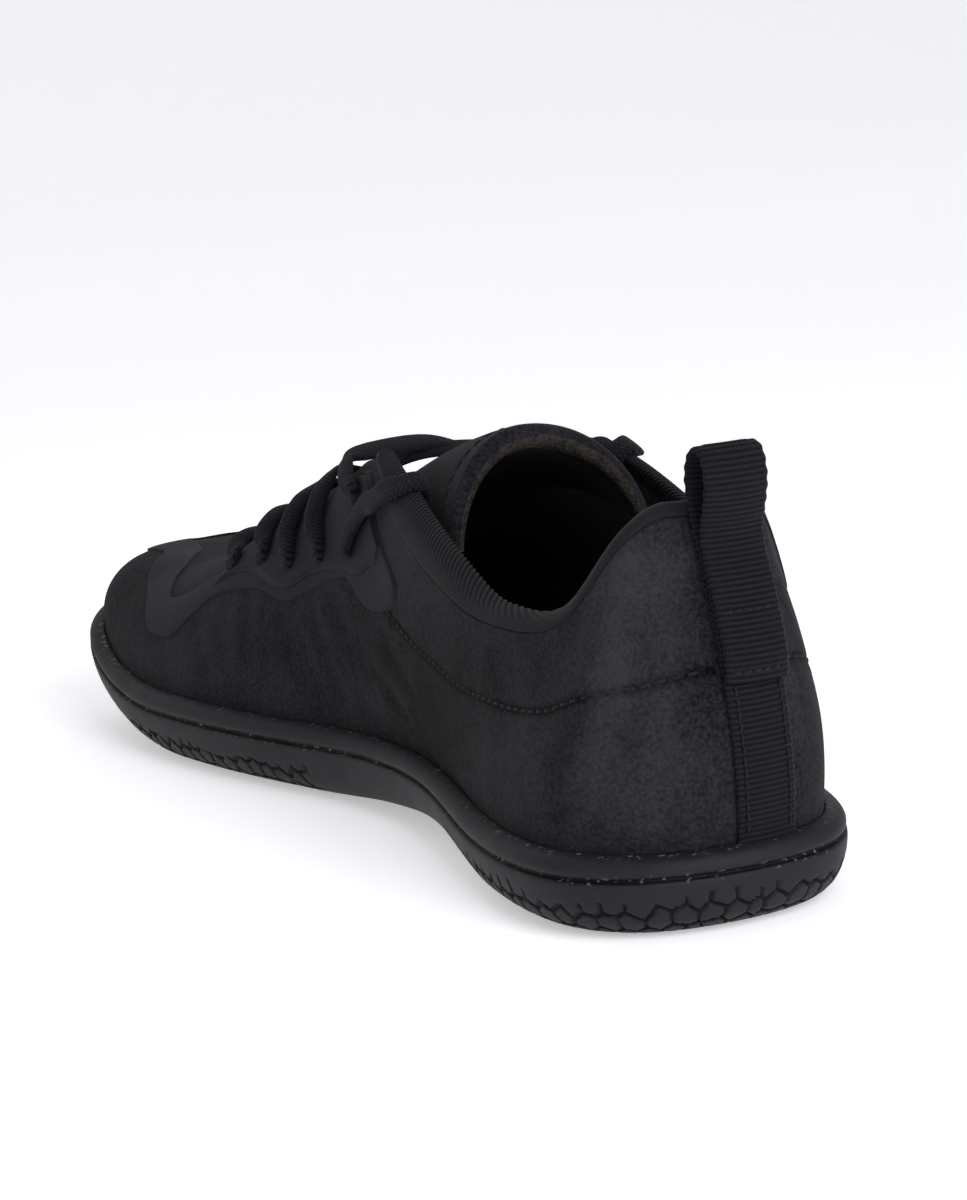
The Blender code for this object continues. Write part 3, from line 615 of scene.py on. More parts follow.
def nubuck_leather():
    made, tree, shader, place = start_finish("nubuck_leather", Roughness=0.9, IOR=1.45, Specular_IOR_Level=0.06,
                                             Sheen_Weight=0.03, Sheen_Roughness=0.5)
    clouds = add(tree, "TexNoise", {"Vector": place, "Scale": 1000 / CLOUD_MM, "Detail": 4.0, "Roughness": 0.6,
                                    "Distortion": 0.6})
    rubbed = add(tree, "Mapping", {"Vector": place, "Scale": (1.0, 1.0, 0.4), "Rotation": (0.3, 0.2, 0.0)})
    smears = add(tree, "TexNoise", {"Vector": rubbed, "Scale": 1000 / SMEAR_MM, "Detail": 5.0, "Roughness": 0.65})
    mottle = add(tree, "TexNoise", {"Vector": place, "Scale": 1000 / MOTTLE_MM, "Detail": 6.0, "Roughness": 0.72})
    nap = add(tree, "TexNoise", {"Vector": place, "Scale": 1000 / NAP_MM, "Detail": 2.0})
    warp = add(tree, "VectorMath", {0: mottle.outputs["Color"], 1: [WARP_MM * MM] * 3, 2: place},
               operation="MULTIPLY_ADD")
    cells = add(tree, "TexVoronoi", {"Vector": warp, "Scale": 1000 / WRINKLE_MM}, feature="DISTANCE_TO_EDGE")
    wrinkle = add(tree, "MapRange", {"Value": cells, "From Min": 0.0, "From Max": 0.10})
    # the wear mark: rubbed nap, with a painted highlight on the inner heel, painted shade on the waist and painted
    # shade along the seams
    mark = add(tree, "Attribute", {}, attribute_name="wear_and_painted_light")
    worn = add(tree, "SeparateXYZ", {"Vector": mark.outputs["Vector"]})
    # add up the layers, each with its own weight
    level = add(tree, "Math", {0: clouds, 1: 0.46}, operation="MULTIPLY")
    for layer, weight in ((smears, 0.14), (mottle, 0.42), (nap, 0.76), (wrinkle, 0.03), (worn, 0.22)):
        level = add(tree, "Math", {0: layer, 1: weight, 2: level}, operation="MULTIPLY_ADD")
    shade = add(tree, "MapRange", {"Value": level, "From Min": 0.64, "From Max": 1.28})
    tone = add(tree, "ValToRGB", {"Fac": shade}, stops=((0.0, "#060608"), (1.0, "#313135")))
    grain = add(tree, "Math", {0: wrinkle, 1: 0.15, 2: mottle}, operation="MULTIPLY_ADD")
    low = add(tree, "Bump", {"Height": grain, "Strength": 0.35, "Distance": 0.0004})
    high = add(tree, "Bump", {"Height": nap, "Strength": 0.4, "Distance": 0.0003, "Normal": low})
    wire(tree, shader, {"Base Color": tone, "Normal": high})
    return made


NUBUCK = nubuck_leather()

# %% [markdown]
# ### Moulded rubber
# A cup sole is pressed rubber. It is black with a hint of blue, matt where the mould was blasted, and it picks up
# pale dust in its grooves and small scuffs on the bead. The mesh marks how deep each point lies in a groove, and
# the material darkens there as painted shade.

# %% Moulded rubber
BLAST_MM = 0.5
SCUFF_MM = 6.0
DUST_MM = 1.3


def moulded_rubber():
    made, tree, shader, place = start_finish("moulded_rubber", Roughness=0.68, IOR=1.52, Specular_IOR_Level=0.22)
    mark = add(tree, "Attribute", {}, attribute_name="groove")
    depth = add(tree, "SeparateXYZ", {"Vector": mark.outputs["Vector"]})
    scuffs = add(tree, "TexNoise", {"Vector": place, "Scale": 1000 / SCUFF_MM, "Detail": 6.0, "Roughness": 0.65})
    tone = add(tree, "ValToRGB", {"Fac": scuffs}, stops=((0.35, "#16161a"), (0.75, "#1f1f24")))
    # painted shade: the grooves darken towards near black
    shade = add(tree, "Mix", {"Factor": depth, "A": tone, "B": colour("#030304")}, data_type="RGBA")
    dust = add(tree, "TexNoise", {"Vector": place, "Scale": 1000 / DUST_MM, "Detail": 3.0})
    speck = add(tree, "MapRange", {"Value": dust, "From Min": 0.61, "From Max": 0.66})
    speck = add(tree, "Math", {0: speck, 1: depth.outputs["Y"]}, operation="MULTIPLY")
    dusty = add(tree, "Mix", {"Factor": speck, "A": shade, "B": colour("#7d7b79")}, data_type="RGBA")
    gloss = add(tree, "MapRange", {"Value": scuffs, "From Min": 0.3, "From Max": 0.8, "To Min": 0.58,
                                   "To Max": 0.74})
    blast = add(tree, "TexNoise", {"Vector": place, "Scale": 1000 / BLAST_MM, "Detail": 2.0})
    bump = add(tree, "Bump", {"Height": blast, "Strength": 0.12, "Distance": 0.0002})
    wire(tree, shader, {"Base Color": dusty, "Roughness": gloss, "Normal": bump})
    return made


RUBBER = moulded_rubber()

# %% [markdown]
# ### TPU film
# The eyestay is a thermoplastic film pressed on with heat. It is smoother than the nubuck round it, so it shows as
# a calm grey-black shape with a soft shine, and the leather's grain just comes through.

# %% TPU film
TELEGRAPH_MM = 2.2


def tpu_film():
    made, tree, shader, place = start_finish("tpu_film", Roughness=0.72, IOR=1.5, Specular_IOR_Level=0.12)
    clouds = add(tree, "TexNoise", {"Vector": place, "Scale": 1000 / CLOUD_MM, "Detail": 3.0})
    tone = add(tree, "ValToRGB", {"Fac": clouds}, stops=((0.3, "#16161a"), (0.75, "#1d1d22")))
    grain = add(tree, "TexNoise", {"Vector": place, "Scale": 1000 / TELEGRAPH_MM, "Detail": 3.0})
    bump = add(tree, "Bump", {"Height": grain, "Strength": 0.08, "Distance": 0.0004})
    gloss = add(tree, "MapRange", {"Value": clouds, "From Min": 0.3, "From Max": 0.7, "To Min": 0.66,
                                   "To Max": 0.78})
    wire(tree, shader, {"Base Color": tone, "Normal": bump, "Roughness": gloss})
    return made


FILM_FINISH = tpu_film()

# %% [markdown]
# ### Woven cloths
# Webbing, lace and collar ribbing are all polyester yarn. Their ribs are real geometry where they show from a step
# away. The yarn itself is finer than that, so it comes from waves along and across the strip. The mesh carries
# each point's distance along and across its strip in millimetres, and the waves read that mark.

# %% Woven cloths
YARN_FUZZ_MM = 0.35
RIB_PITCH = 1.1


def woven_cloth(name, dark, light, along_mm, across_mm, slant, cross, strength, sheen):
    """Cloth whose yarns cross every along_mm and across_mm; slant leans the rows into a chevron, cross is how
    much the second yarn shows. The mark's third number fades the weave out."""
    made, tree, shader, place = start_finish(name, Roughness=0.88, IOR=1.5, Specular_IOR_Level=0.1,
                                             Sheen_Weight=sheen, Sheen_Roughness=0.4)
    mark = add(tree, "Attribute", {}, attribute_name="strip")
    along, across, faded = add(tree, "SeparateXYZ", {"Vector": mark.outputs["Vector"]}).outputs
    lean = add(tree, "Math", {0: across}, operation="ABSOLUTE")
    lean = add(tree, "Math", {0: lean, 1: slant, 2: along}, operation="MULTIPLY_ADD")
    waves = []
    for distance, pitch in ((lean, along_mm), (across, across_mm)):
        turns = add(tree, "Math", {0: distance, 1: 2 * np.pi / pitch}, operation="MULTIPLY")
        waves.append(add(tree, "Math", {0: turns}, operation="SINE"))
    weave = add(tree, "Math", {0: waves[0], 1: waves[1]}, operation="MULTIPLY")
    plain = add(tree, "Math", {0: waves[0], 1: 1.0 - 0.5 * cross}, operation="MULTIPLY")
    weave = add(tree, "Math", {0: weave, 1: cross, 2: plain}, operation="MULTIPLY_ADD")
    shown = add(tree, "Math", {0: 1.0, 1: faded}, operation="SUBTRACT")
    weave = add(tree, "Math", {0: weave, 1: shown}, operation="MULTIPLY")
    fuzz = add(tree, "TexNoise", {"Vector": place, "Scale": 1000 / YARN_FUZZ_MM, "Detail": 2.0})
    level = add(tree, "Math", {0: fuzz, 1: 1.2, 2: weave}, operation="MULTIPLY_ADD")
    tone = add(tree, "MapRange", {"Value": level, "From Min": -0.8, "From Max": 2.0})
    mix = add(tree, "Mix", {"Factor": tone, "A": colour(dark), "B": colour(light)}, data_type="RGBA")
    bump = add(tree, "Bump", {"Height": level, "Strength": strength, "Distance": 0.00018})
    wire(tree, shader, {"Base Color": mix, "Normal": bump})
    return made


# dark and light colour, yarn spacing along and across, slant, second yarn, bump strength, sheen
WEB = woven_cloth("polyester_webbing", "#060608", "#202026", 1.0, 0.9, 0.0, 0.25, 0.25, 0.04)
LACE = woven_cloth("polyester_lace", "#010102", "#222228", 0.9, 1.0, 0.5, 1.0, 0.7, 0.04)
KNIT = woven_cloth("elastic_ribbing", "#08080a", "#29292c", RIB_PITCH, 0.8, 0.0, 0.0, 0.1, 0.05)
LINING = woven_cloth("lining_jersey", "#26262b", "#454550", 0.9, 0.9, 0.0, 1.0, 0.4, 0.02)
THREAD = woven_cloth("polyester_thread", "#131316", "#2a2a2d", 0.4, 0.6, 0.0, 1.0, 0.3, 0.1)

# %% [markdown]
# ### Cut foam
# The tongue's padding ends in a raw edge: a grey-brown open-cell foam with a felted face. Small cells and flecks
# at two sizes give it away.

# %% Cut foam
CELL_MM = 0.7


def cut_foam():
    made, tree, shader, place = start_finish("cut_foam", Roughness=0.95, IOR=1.45, Specular_IOR_Level=0.2)
    cells = add(tree, "TexVoronoi", {"Vector": place, "Scale": 1000 / CELL_MM})
    flecks = add(tree, "TexNoise", {"Vector": place, "Scale": 1000 / (3 * CELL_MM), "Detail": 4.0})
    level = add(tree, "Math", {0: cells, 1: 0.7, 2: flecks}, operation="MULTIPLY_ADD")
    tone = add(tree, "ValToRGB", {"Fac": level}, stops=((0.45, "#0e0c0a"), (1.0, "#342f2a")))
    bump = add(tree, "Bump", {"Height": cells, "Strength": 0.7, "Distance": 0.0004})
    wire(tree, shader, {"Base Color": tone, "Normal": bump})
    return made


FOAM = cut_foam()

# %% [markdown]
# ## Upper
# The upper is cut from one piece of nubuck and pulled over the last. Its creases are soft troughs with a low ridge
# beside them, so each is a short line on the last with a width and a depth. Modelling them in the mesh, rather
# than in the bump, lets the light roll over them from every side. The seam line and the dimples at the eyelets are
# troughs of the same kind.

# %% Tables of creases, wear and painted light, and seam
# Creases: share and height where each starts and ends, its width and its depth in millimetres
CREASES = (
    (0.258, 0.38, 0.240, 0.12, 2.2, 0.30),
    (0.246, 0.43, 0.217, 0.21, 2.8, 0.34),
    (0.226, 0.36, 0.196, 0.19, 2.4, 0.32),
    (0.214, 0.28, 0.190, 0.13, 1.8, 0.26),
    (0.206, 0.45, 0.184, 0.34, 2.0, 0.24),
    (0.276, 0.34, 0.262, 0.15, 2.4, 0.26),
    (0.302, 0.38, 0.292, 0.17, 2.8, 0.24),
    (0.332, 0.30, 0.318, 0.12, 2.6, 0.22),
    (0.078, 0.86, 0.070, 0.45, 4.5, 0.35),
    (0.112, 0.80, 0.094, 0.52, 4.0, 0.25),
    (0.034, 0.80, 0.040, 0.40, 4.0, 0.30),
    (0.708, 0.42, 0.738, 0.16, 2.6, 0.32),
    (0.728, 0.44, 0.760, 0.20, 2.8, 0.30),
    (0.690, 0.38, 0.706, 0.16, 2.4, 0.26),
    (0.918, 0.84, 0.930, 0.45, 4.5, 0.35),
)

# Wear of the nap and painted light and shade: share and height where each rubbed or darkened stroke starts and
# ends, its width in millimetres and how much lighter (or darker) it is. The wide light stroke at the inner heel is a
# painted highlight, and the wide dark strokes low on the waist are painted shade.
WEAR_AND_PAINTED_LIGHT = (
    (0.052, 0.90, 0.046, 0.52, 4.5, 0.95),
    (0.044, 0.52, 0.050, 0.22, 4.0, 0.45),
    (0.066, 0.88, 0.060, 0.60, 3.5, 0.40),
    (0.030, 0.84, 0.026, 0.50, 3.5, 0.50),
    (0.028, 0.40, 0.030, 0.10, 4.0, 0.35),
    (0.078, 0.46, 0.070, 0.12, 5.0, 0.40),
    (0.094, 0.40, 0.088, 0.15, 4.0, 0.25),
    (0.982, 0.80, 0.984, 0.30, 4.0, 0.70),
    (0.955, 0.80, 0.958, 0.40, 4.0, 0.55),
    (0.060, 0.40, 0.064, 0.12, 4.5, -0.45),
    # painted highlight: the inner heel is lightened
    (0.040, 0.80, 0.042, 0.25, 10.0, 0.65),
    # painted shade: the waist is darkened here and in the two wide dark strokes at shares 0.15 to 0.23 below
    (0.160, 0.20, 0.200, 0.10, 10.0, -0.60),
    (0.400, 0.30, 0.450, 0.30, 14.0, -0.40),
    (0.038, 0.62, 0.036, 0.30, 3.5, -0.35),
    (0.150, 0.36, 0.180, 0.20, 13.0, -0.75),
    (0.190, 0.46, 0.230, 0.30, 10.0, -0.55),
    (0.120, 0.74, 0.170, 0.78, 8.0, -0.45),
    (0.250, 0.24, 0.300, 0.20, 9.0, -0.35),
    (0.228, 0.22, 0.214, 0.10, 1.6, 0.45),
    (0.216, 0.30, 0.200, 0.18, 1.4, 0.40),
    (0.205, 0.26, 0.192, 0.14, 1.2, 0.35),
    (0.262, 0.30, 0.250, 0.16, 1.5, 0.35),
    (0.310, 0.34, 0.302, 0.14, 2.0, 0.30),
    (0.350, 0.20, 0.380, 0.12, 5.0, 0.30),
)

# Quarter seam on the medial side: share round the upper, share of the wall's height
SEAM = (
    (0.2080, 0.600),
    (0.2054, 0.585),
    (0.1842, 0.568),
    (0.1605, 0.575),
    (0.1404, 0.568),
    (0.1129, 0.585),
    (0.0872, 0.575),
    (0.0612, 0.492),
    (0.0421, 0.488),
    (0.0233, 0.514),
    (0.0100, 0.530),
)
# the worn strokes include the painted highlight and painted shade
print(len(CREASES), "creases,", len(WEAR_AND_PAINTED_LIGHT), "worn strokes,", len(SEAM), "points of the seam")

# %% Relief, and wear and painted light, of the upper
STROKE_POINTS = 24
SEAM_POINTS = 240
SEAM_DEPTH = 0.30
SEAM_WIDTH = 0.9
SEAM_SHADE = 1.3
DIMPLE_DEPTH = 0.6
DIMPLE_WIDTH = 2.0
# Ridge beside a crease: its height as a share of the depth, its place and width as shares of the crease's width
RIDGE_HEIGHT, RIDGE_PLACE, RIDGE_WIDTH = 0.45, 1.9, 0.8

MEDIAL_HOLES = np.array([*(eyelet[:2] for eyelet in EYELETS), LAST_EYELET])
HOLES = np.concatenate([upper_face(on_side(MEDIAL_HOLES[:, 0], side), MEDIAL_HOLES[:, 1]) for side in SIDES])


def strokes(points, table):
    """For each stroke of a table: the points' distance from it, its width and its strength."""
    for *ends, width, strength in table:
        places = np.linspace(ends[:2], ends[2:], STROKE_POINTS)
        yield near(points, upper_face(*places.T)), width, strength


def seam_places(side):
    share, height = through(SEAM, SEAM_POINTS).T
    return on_side(share, side), height


def seams(points):
    """How far each point lies in the seams, from 0 to 1."""
    return sum(trough(near(points, upper_face(*seam_places(side))), SEAM_WIDTH) for side in SIDES)


def dimples(points):
    """How far the leather and the film are drawn in at the eyelets."""
    return -DIMPLE_DEPTH * trough(near(points, HOLES), DIMPLE_WIDTH)


def wear_and_painted_light(points):
    """How much the nap is lightened or darkened at each point: rubbed wear, a painted highlight on the inner heel,
    painted shade on the waist and painted shade in the seams.
    """
    return sum((strength * trough(gap, width) for gap, width, strength in strokes(points, WEAR_AND_PAINTED_LIGHT)),
               -SEAM_SHADE * seams(points))


def relief(points):
    """Height in millimetres that creases, seams, eyelets and the soft unevenness of leather add to the last."""
    x, y, z = np.moveaxis(points, -1, 0)
    height = 0.16 * np.sin(y / 13.0 + 0.6 * np.sin(z / 9.0)) * np.sin(z / 7.5 + x / 17.0)
    height += 0.10 * np.sin(y / 6.1 + z / 5.3 + 1.7) * np.sin(y / 10.7 - z / 8.1)
    for gap, width, depth in strokes(points, CREASES):
        height -= depth * trough(gap, width)
        height += RIDGE_HEIGHT * depth * trough(gap - RIDGE_PLACE * width, RIDGE_WIDTH * width)
    return height - SEAM_DEPTH * seams(points) + dimples(points)


print(len(HOLES), "eyelets")

# %% Upper
UPPER_AROUND = 440
UPPER_RINGS = 84
TUCK = 2.0
TUCK_INSET = 0.5
LIP = 0.45
LIP_TURN = 0.5
STILL_FOOT, STILL_EDGE = 0.06, 0.05


def make_upper():
    share = shares(UPPER_AROUND)
    inset = CUP_WALL + CLEARANCE
    low, foot = plan(inset + TUCK_INSET, share), plan(inset, share)
    tucked = [np.column_stack([low, UNDERSIDE(low[:, 1]) + CUP_FLOOR + CLEARANCE]),
              np.column_stack([foot, RIM(foot[:, 1]) - TUCK])]
    heights = np.linspace(0.0, 1.0, UPPER_RINGS)
    face = np.array([upper_face(share, h) for h in heights])
    out = np.array([upper_out(share, min(h, 0.997)) for h in heights])
    # the relief dies out at the foot and at the top edge
    fade = (ease(heights / STILL_FOOT) * ease((1.0 - heights) / STILL_EDGE))[:, None]
    worn = face + out * (relief(face) * fade)[:, :, None]
    lip = face[-1] + LIP * unit(face[-1] - face[-4])
    inside = (face - out * WALL)[::-1][::3]
    lining = [p + np.column_stack([inward(share) * WALL, np.zeros(len(share))]) for p in tucked[::-1]]
    rows = np.array([*tucked, *worn, lip - out[-1] * LIP_TURN, lip - out[-1] * (WALL - LIP_TURN), *inside, *lining])
    # the last ring joins the first again
    faces = grid_faces(len(rows) + 1, UPPER_AROUND) % (len(rows) * UPPER_AROUND)
    outer = (len(tucked) + UPPER_RINGS + 1) * UPPER_AROUND
    rubbed = np.zeros(rows.shape)
    # this mark carries rubbed nap and painted light and shade, with painted shade in the seams
    rubbed[len(tucked) : len(tucked) + UPPER_RINGS, :, 0] = wear_and_painted_light(face)
    make_piece("nubuck_upper", rows, faces, [NUBUCK, LINING], "nubuck", ["upper"], np.arange(len(faces)) >= outer,
               {"strip": cloth_mark(rows, 1, 2), "wear_and_painted_light": rubbed})


make_upper()

# %% [markdown]
# ## Sole
# The sole is one rubber moulding: a rounded bead on top, a fine groove, a plain wall and a rounded lower edge cut
# into six-sided lugs at heel and forefoot. Cutting hundreds of lugs with Booleans is slow and leaves thin faces, so
# here a fine grid is pressed in wherever a point lies near the border of a six-sided cell.

# %% Lug pattern
LUG_PITCH = 5.0
LUG_JITTER = 0.22
LUG_GROOVE = 0.28
LUG_DEPTH = 1.0
LUG_REACH = 13.2
TREAD_ZONES = ((-10.0, 80.0), (150.0, 300.0))
ZONE_EDGE = 4.0


def lug_border(u, v):
    """Distance from the border between the two nearest lugs; the lugs sit on a jittered six-sided lattice."""
    row = LUG_PITCH * np.sqrt(0.75)
    wide = np.arange(u.min() - 2 * LUG_PITCH, u.max() + 2 * LUG_PITCH, LUG_PITCH)
    tall = np.arange(v.min() - 2 * row, v.max() + 2 * row, row)
    lattice = np.array([(a + 0.5 * LUG_PITCH * (k % 2), b) for k, b in enumerate(tall) for a in wide])
    lattice += np.random.default_rng(5).uniform(-1, 1, lattice.shape) * LUG_JITTER * LUG_PITCH
    places = np.stack([u.ravel(), v.ravel()], 1)
    border = np.empty(len(places))
    for first in range(0, len(places), CHUNK):
        some = places[first : first + CHUNK]
        gap = ((some[:, None] - lattice[None]) ** 2).sum(2)
        pair = np.argpartition(gap, 1, axis=1)[:, :2]
        two = np.take_along_axis(gap, pair, 1)
        apart = np.linalg.norm(lattice[pair[:, 0]] - lattice[pair[:, 1]], axis=1)
        border[first : first + CHUNK] = np.abs(two[:, 1] - two[:, 0]) / (2 * apart)
    return border.reshape(u.shape)


def lug_cut(border, groove, soft):
    """1 in the middle of a groove between lugs, 0 on a lug."""
    return ease((groove - border) / soft + 0.5)


def zone(station):
    """1 where the tread is cut, 0 at the smooth waist."""
    return np.maximum(*(ease((station - low) / ZONE_EDGE) * ease((high - station) / ZONE_EDGE)
                        for low, high in TREAD_ZONES))


print("tread cut at stations", *TREAD_ZONES)

# %% Section of the sole
# Section of the sole's side: share of its height, distance inside the plan
SOLE_SIDE = (
    (0.000, 10.0),
    (0.012, 8.6),
    (0.032, 7.0),
    (0.070, 5.4),
    (0.120, 4.1),
    (0.200, 2.7),
    (0.300, 1.7),
    (0.400, 1.05),
    (0.500, 0.62),
    (0.600, 0.38),
    (0.668, 0.30),
    (0.684, 0.42),
    (0.690, 0.90),
    (0.696, 1.45),
    (0.724, 1.45),
    (0.732, 0.95),
    (0.744, 0.62),
    (0.770, 0.42),
    (0.820, 0.45),
    (0.870, 0.75),
    (0.915, 1.35),
    (0.945, 2.20),
    (0.962, 3.20),
    (0.968, 4.25),
)
print(len(SOLE_SIDE), "points up the side")

# %% Side of the sole
SOLE_TALL = 16.0
SIDE_STEPS = 56
LOW_DRAW = 0.38
GROOVE_BAND = (0.688, 0.734)
GROOVE_MIDDLE, GROOVE_DUST = 0.71, 0.06
BEAD_TOP, BEAD_DUST = 0.93, 0.03
LUG_DARK = 1.8
LUG_WAVER = 1.2
LUG_CROWD = 2.0
PLAN_FINE = 2000
# softness of a groove's walls, and of its upper end
GROOVE_SOFT, GROOVE_END = 0.3, 0.8
# from this station the lugs reach less far up
FRONT_STATION, FRONT_FADE = 120.0, 30.0
# up to this climb the grooves are pressed upwards too
PRESS_TOP, PRESS_FADE = 7.0, 6.0


def tread_shares(count):
    """Shares round the plan, closer where lugs are cut, each facing one on the other side."""
    fine = np.linspace(0.0, TOE_SHARE, PLAN_FINE)
    weight = np.concatenate([[0.0], np.cumsum(1.0 + LUG_CROWD * zone(PLAN_CURVE(fine[1:])[:, 1]))])
    medial = np.interp(np.linspace(0.0, weight[-1], count // 2 + 1), weight, fine)
    return np.concatenate([medial, other_side(medial[-2:0:-1])])


def sole_side(share):
    """Rings of the sole's side with the lugs pressed in, and the marks for painted shade in its grooves and for its
    dust.
    """
    section = np.array(SOLE_SIDE)
    steps = run_along(section * (SOLE_TALL, 1.0))
    # more of the rings lie in the lower half, where the lugs are cut
    even = np.linspace(0.0, 1.0, SIDE_STEPS)
    reading = steps[-1] * ((1.0 - LOW_DRAW) * even + LOW_DRAW * even**2)
    edge = PLAN_CURVE(share)
    run = run_along(edge)
    border = lug_border(*np.broadcast_arrays(run[None, :], reading[:, None]))
    # the lugs reach less far up at the forefoot, and unevenly
    reach = LUG_REACH - LUG_WAVER * ease((edge[:, 1] - FRONT_STATION) / FRONT_FADE)
    reach += LUG_WAVER * np.sin(run / 5.3) * np.sin(run / 13.0 + 1.0)
    ragged = 0.5 + 0.5 * np.sin(run / 1.9 + 2.0 * np.sin(run / 7.3))
    rings, marks = [], []
    for climb, gap in zip(reading, border):
        h, inset = (np.interp(climb, steps, column) for column in section.T)
        p = plan(inset, share)
        low = UNDERSIDE(p[:, 1])
        ring = np.column_stack([p, low + h * (RIM(p[:, 1]) - low)])
        cut = lug_cut(gap, LUG_GROOVE, GROOVE_SOFT) * zone(p[:, 1]) * ease((reach - climb) / GROOVE_END)
        upwards = np.full(len(share), ease((PRESS_TOP - climb) / PRESS_FADE))
        press = unit(np.column_stack([inward(share), upwards]))
        rings.append(ring + press * (cut * LUG_DEPTH)[:, None])
        # painted shade in the fine groove round the side and in the lug grooves
        in_groove = (GROOVE_BAND[0] <= h <= GROOVE_BAND[1]) * (0.75 + 0.25 * ragged)
        dusty = max(ease(1.0 - abs(h - GROOVE_MIDDLE) / GROOVE_DUST), 0.6 * ease((h - BEAD_TOP) / BEAD_DUST))
        dark = np.maximum(np.minimum(LUG_DARK * cut, 1.0), in_groove)
        marks.append(np.column_stack([dark, np.full(len(share), dusty), 0 * cut]))
    return rings, marks


print(f"lugs {LUG_PITCH} mm apart, cut {LUG_DEPTH} mm deep")

# %% Sole
SOLE_AROUND = 1300
SOLE_ACROSS = 34
CUP_STRIDE = 9
CUP_EASE = 0.5
UNDER_WIDER, UNDER_SOFT = 0.15, 0.5


def make_sole():
    share = tread_shares(SOLE_AROUND)
    rings, marks = sole_side(share)
    p = plan(CUP_WALL + CUP_EASE, share)
    rings.append(np.column_stack([p, UNDERSIDE(p[:, 1]) + CUP_FLOOR]))
    marks.append(np.zeros((len(share), 3)))
    faces = [*grid_faces(len(rings), SOLE_AROUND)]
    points = np.concatenate(rings)
    # the underside and the cup's floor: rungs from each medial point to the lateral one that faces it
    half = SOLE_AROUND // 2
    medial = np.arange(1, half)
    lateral = SOLE_AROUND - medial
    part = np.linspace(0.0, 1.0, SOLE_ACROSS)
    for ring, lugs in ((0, True), (len(rings) - 1, False)):
        start, end = rings[ring][medial], rings[ring][lateral]
        inner = part[1 : -1 : 1 if lugs else CUP_STRIDE]
        sheet = start[:, None] + (end - start)[:, None] * inner[None, :, None]
        cut = np.zeros(sheet.shape[:2])
        if lugs:
            border = lug_border(sheet[:, :, 0], sheet[:, :, 1])
            cut = lug_cut(border, LUG_GROOVE + UNDER_WIDER, UNDER_SOFT) * zone(sheet[:, :, 1])
            sheet[:, :, 2] = UNDERSIDE(sheet[:, :, 1]) + cut * LUG_DEPTH
        inside = len(points) + np.arange(cut.size).reshape(cut.shape)
        first = ring * SOLE_AROUND
        grid = np.column_stack([first + medial, inside, first + lateral])
        quads = np.stack([grid[:-1, :-1], grid[1:, :-1], grid[1:, 1:], grid[:-1, 1:]], -1).reshape(-1, 4)
        faces += [*(quads[:, ::-1] if lugs else quads)]
        for tip, row in ((0, grid[0]), (half, grid[-1])):
            turn = 1 if (tip == 0) == lugs else -1
            faces += [(first + tip, a, b)[::turn] for a, b in zip(row, row[1:])]
        points = np.concatenate([points, sheet.reshape(-1, 3)])
        # the underside's lug grooves get the same painted shade
        marks.append(np.column_stack([cut.ravel(), np.zeros((cut.size, 2))]))
    make_piece("rubber_sole", points, faces, [RUBBER], "moulded_rubber", ["outsole"],
               marks={"groove": np.concatenate(marks)})


make_sole()

# %% [markdown]
# ## Insole
# A thin foam board with a cloth face lies in the cup. It is seen only through the collar, so a plain slab with a
# rounded rim is enough.

# %% Insole
INSOLE_AROUND = 240
INSOLE_INSET = CUP_WALL + 2 * CLEARANCE + WALL + 0.9
# Its rim: distance inside the edge, height
INSOLE_RIM = ((0.6, 0.0), (0.0, 0.6), (0.0, 2.2), (0.5, 2.8), (1.6, INSOLE), (8.0, INSOLE))


def make_insole():
    share = shares(INSOLE_AROUND)
    rows = []
    for inset, up in INSOLE_RIM:
        p = plan(INSOLE_INSET + inset, share)
        rows.append(np.column_stack([p, UNDERSIDE(p[:, 1]) + CUP_FLOOR + 2 * CLEARANCE + up]))
    rows = np.array(rows)
    faces = [*grid_faces(len(rows), INSOLE_AROUND)]
    # rungs close the underside and the top; the rungs at heel and toe are triangles
    ring = np.arange(INSOLE_AROUND)
    for first, turn in ((0, -1), ((len(rows) - 1) * INSOLE_AROUND, 1)):
        for i in range(INSOLE_AROUND // 2):
            faces.append(list(dict.fromkeys(first + ring[[i, i + 1, -i - 1, -i]]))[::turn])
    piece = make_piece("foam_insole", rows, faces, [LINING], "foam_board", ["insole"],
                       marks={"strip": cloth_mark(rows, 1, 0)})


make_insole()

# %% [markdown]
# ## Tongue
# The tongue is nubuck over foam. Its top edge is turned, and below the turn the foam shows raw along the inside. A
# closed grid wraps from the outer face round the tip to the lining, and the faces of each stretch take their own
# finish.

# %% Tongue's outer face
SWEEP_END, SWEEP_LONG = 130.0, 40.0


def tongue_face(stations, angles):
    """Grid of the tongue's outer face: a saddle that rises to the tip and wraps down at both sides."""
    columns = np.array(TONGUE_ROWS).T
    centre, medial, lateral, crown, drop = (smooth(columns[0], column)(stations)[:, None] for column in columns[1:])
    bend = np.sin(angles)[None, :]
    sag = 1 - np.cos(angles)[None, :]
    half = np.where(bend < 0, medial, lateral)
    fade = np.clip((SWEEP_END - stations) / SWEEP_LONG, 0, 1)[:, None]
    y = stations[:, None] - TONGUE_SWEEP * fade * sag
    return np.stack([centre + half * bend, y, crown - drop * sag], 2)


print(f"tongue {TONGUE_ROWS[-1][0] - TONGUE_ROWS[0][0]:.0f} mm long")

# %% Tongue
TONGUE_LONG = 120
TONGUE_WIDE = 84
TONGUE_WRAP = 86.0
TIP_STEPS = 14
TIP_INSET = 2.6
HEM_LINE = 8.5
HEM_DRAW = 0.35
PUFF, PUFF_LONG = 0.22, 7.0
# where the foam starts, as a share of the tip, and how far it goes inside: medial, lateral
FOAM_STARTS = (0.50, 0.38)
FOAM_INSIDE = (1.6, 4.2)


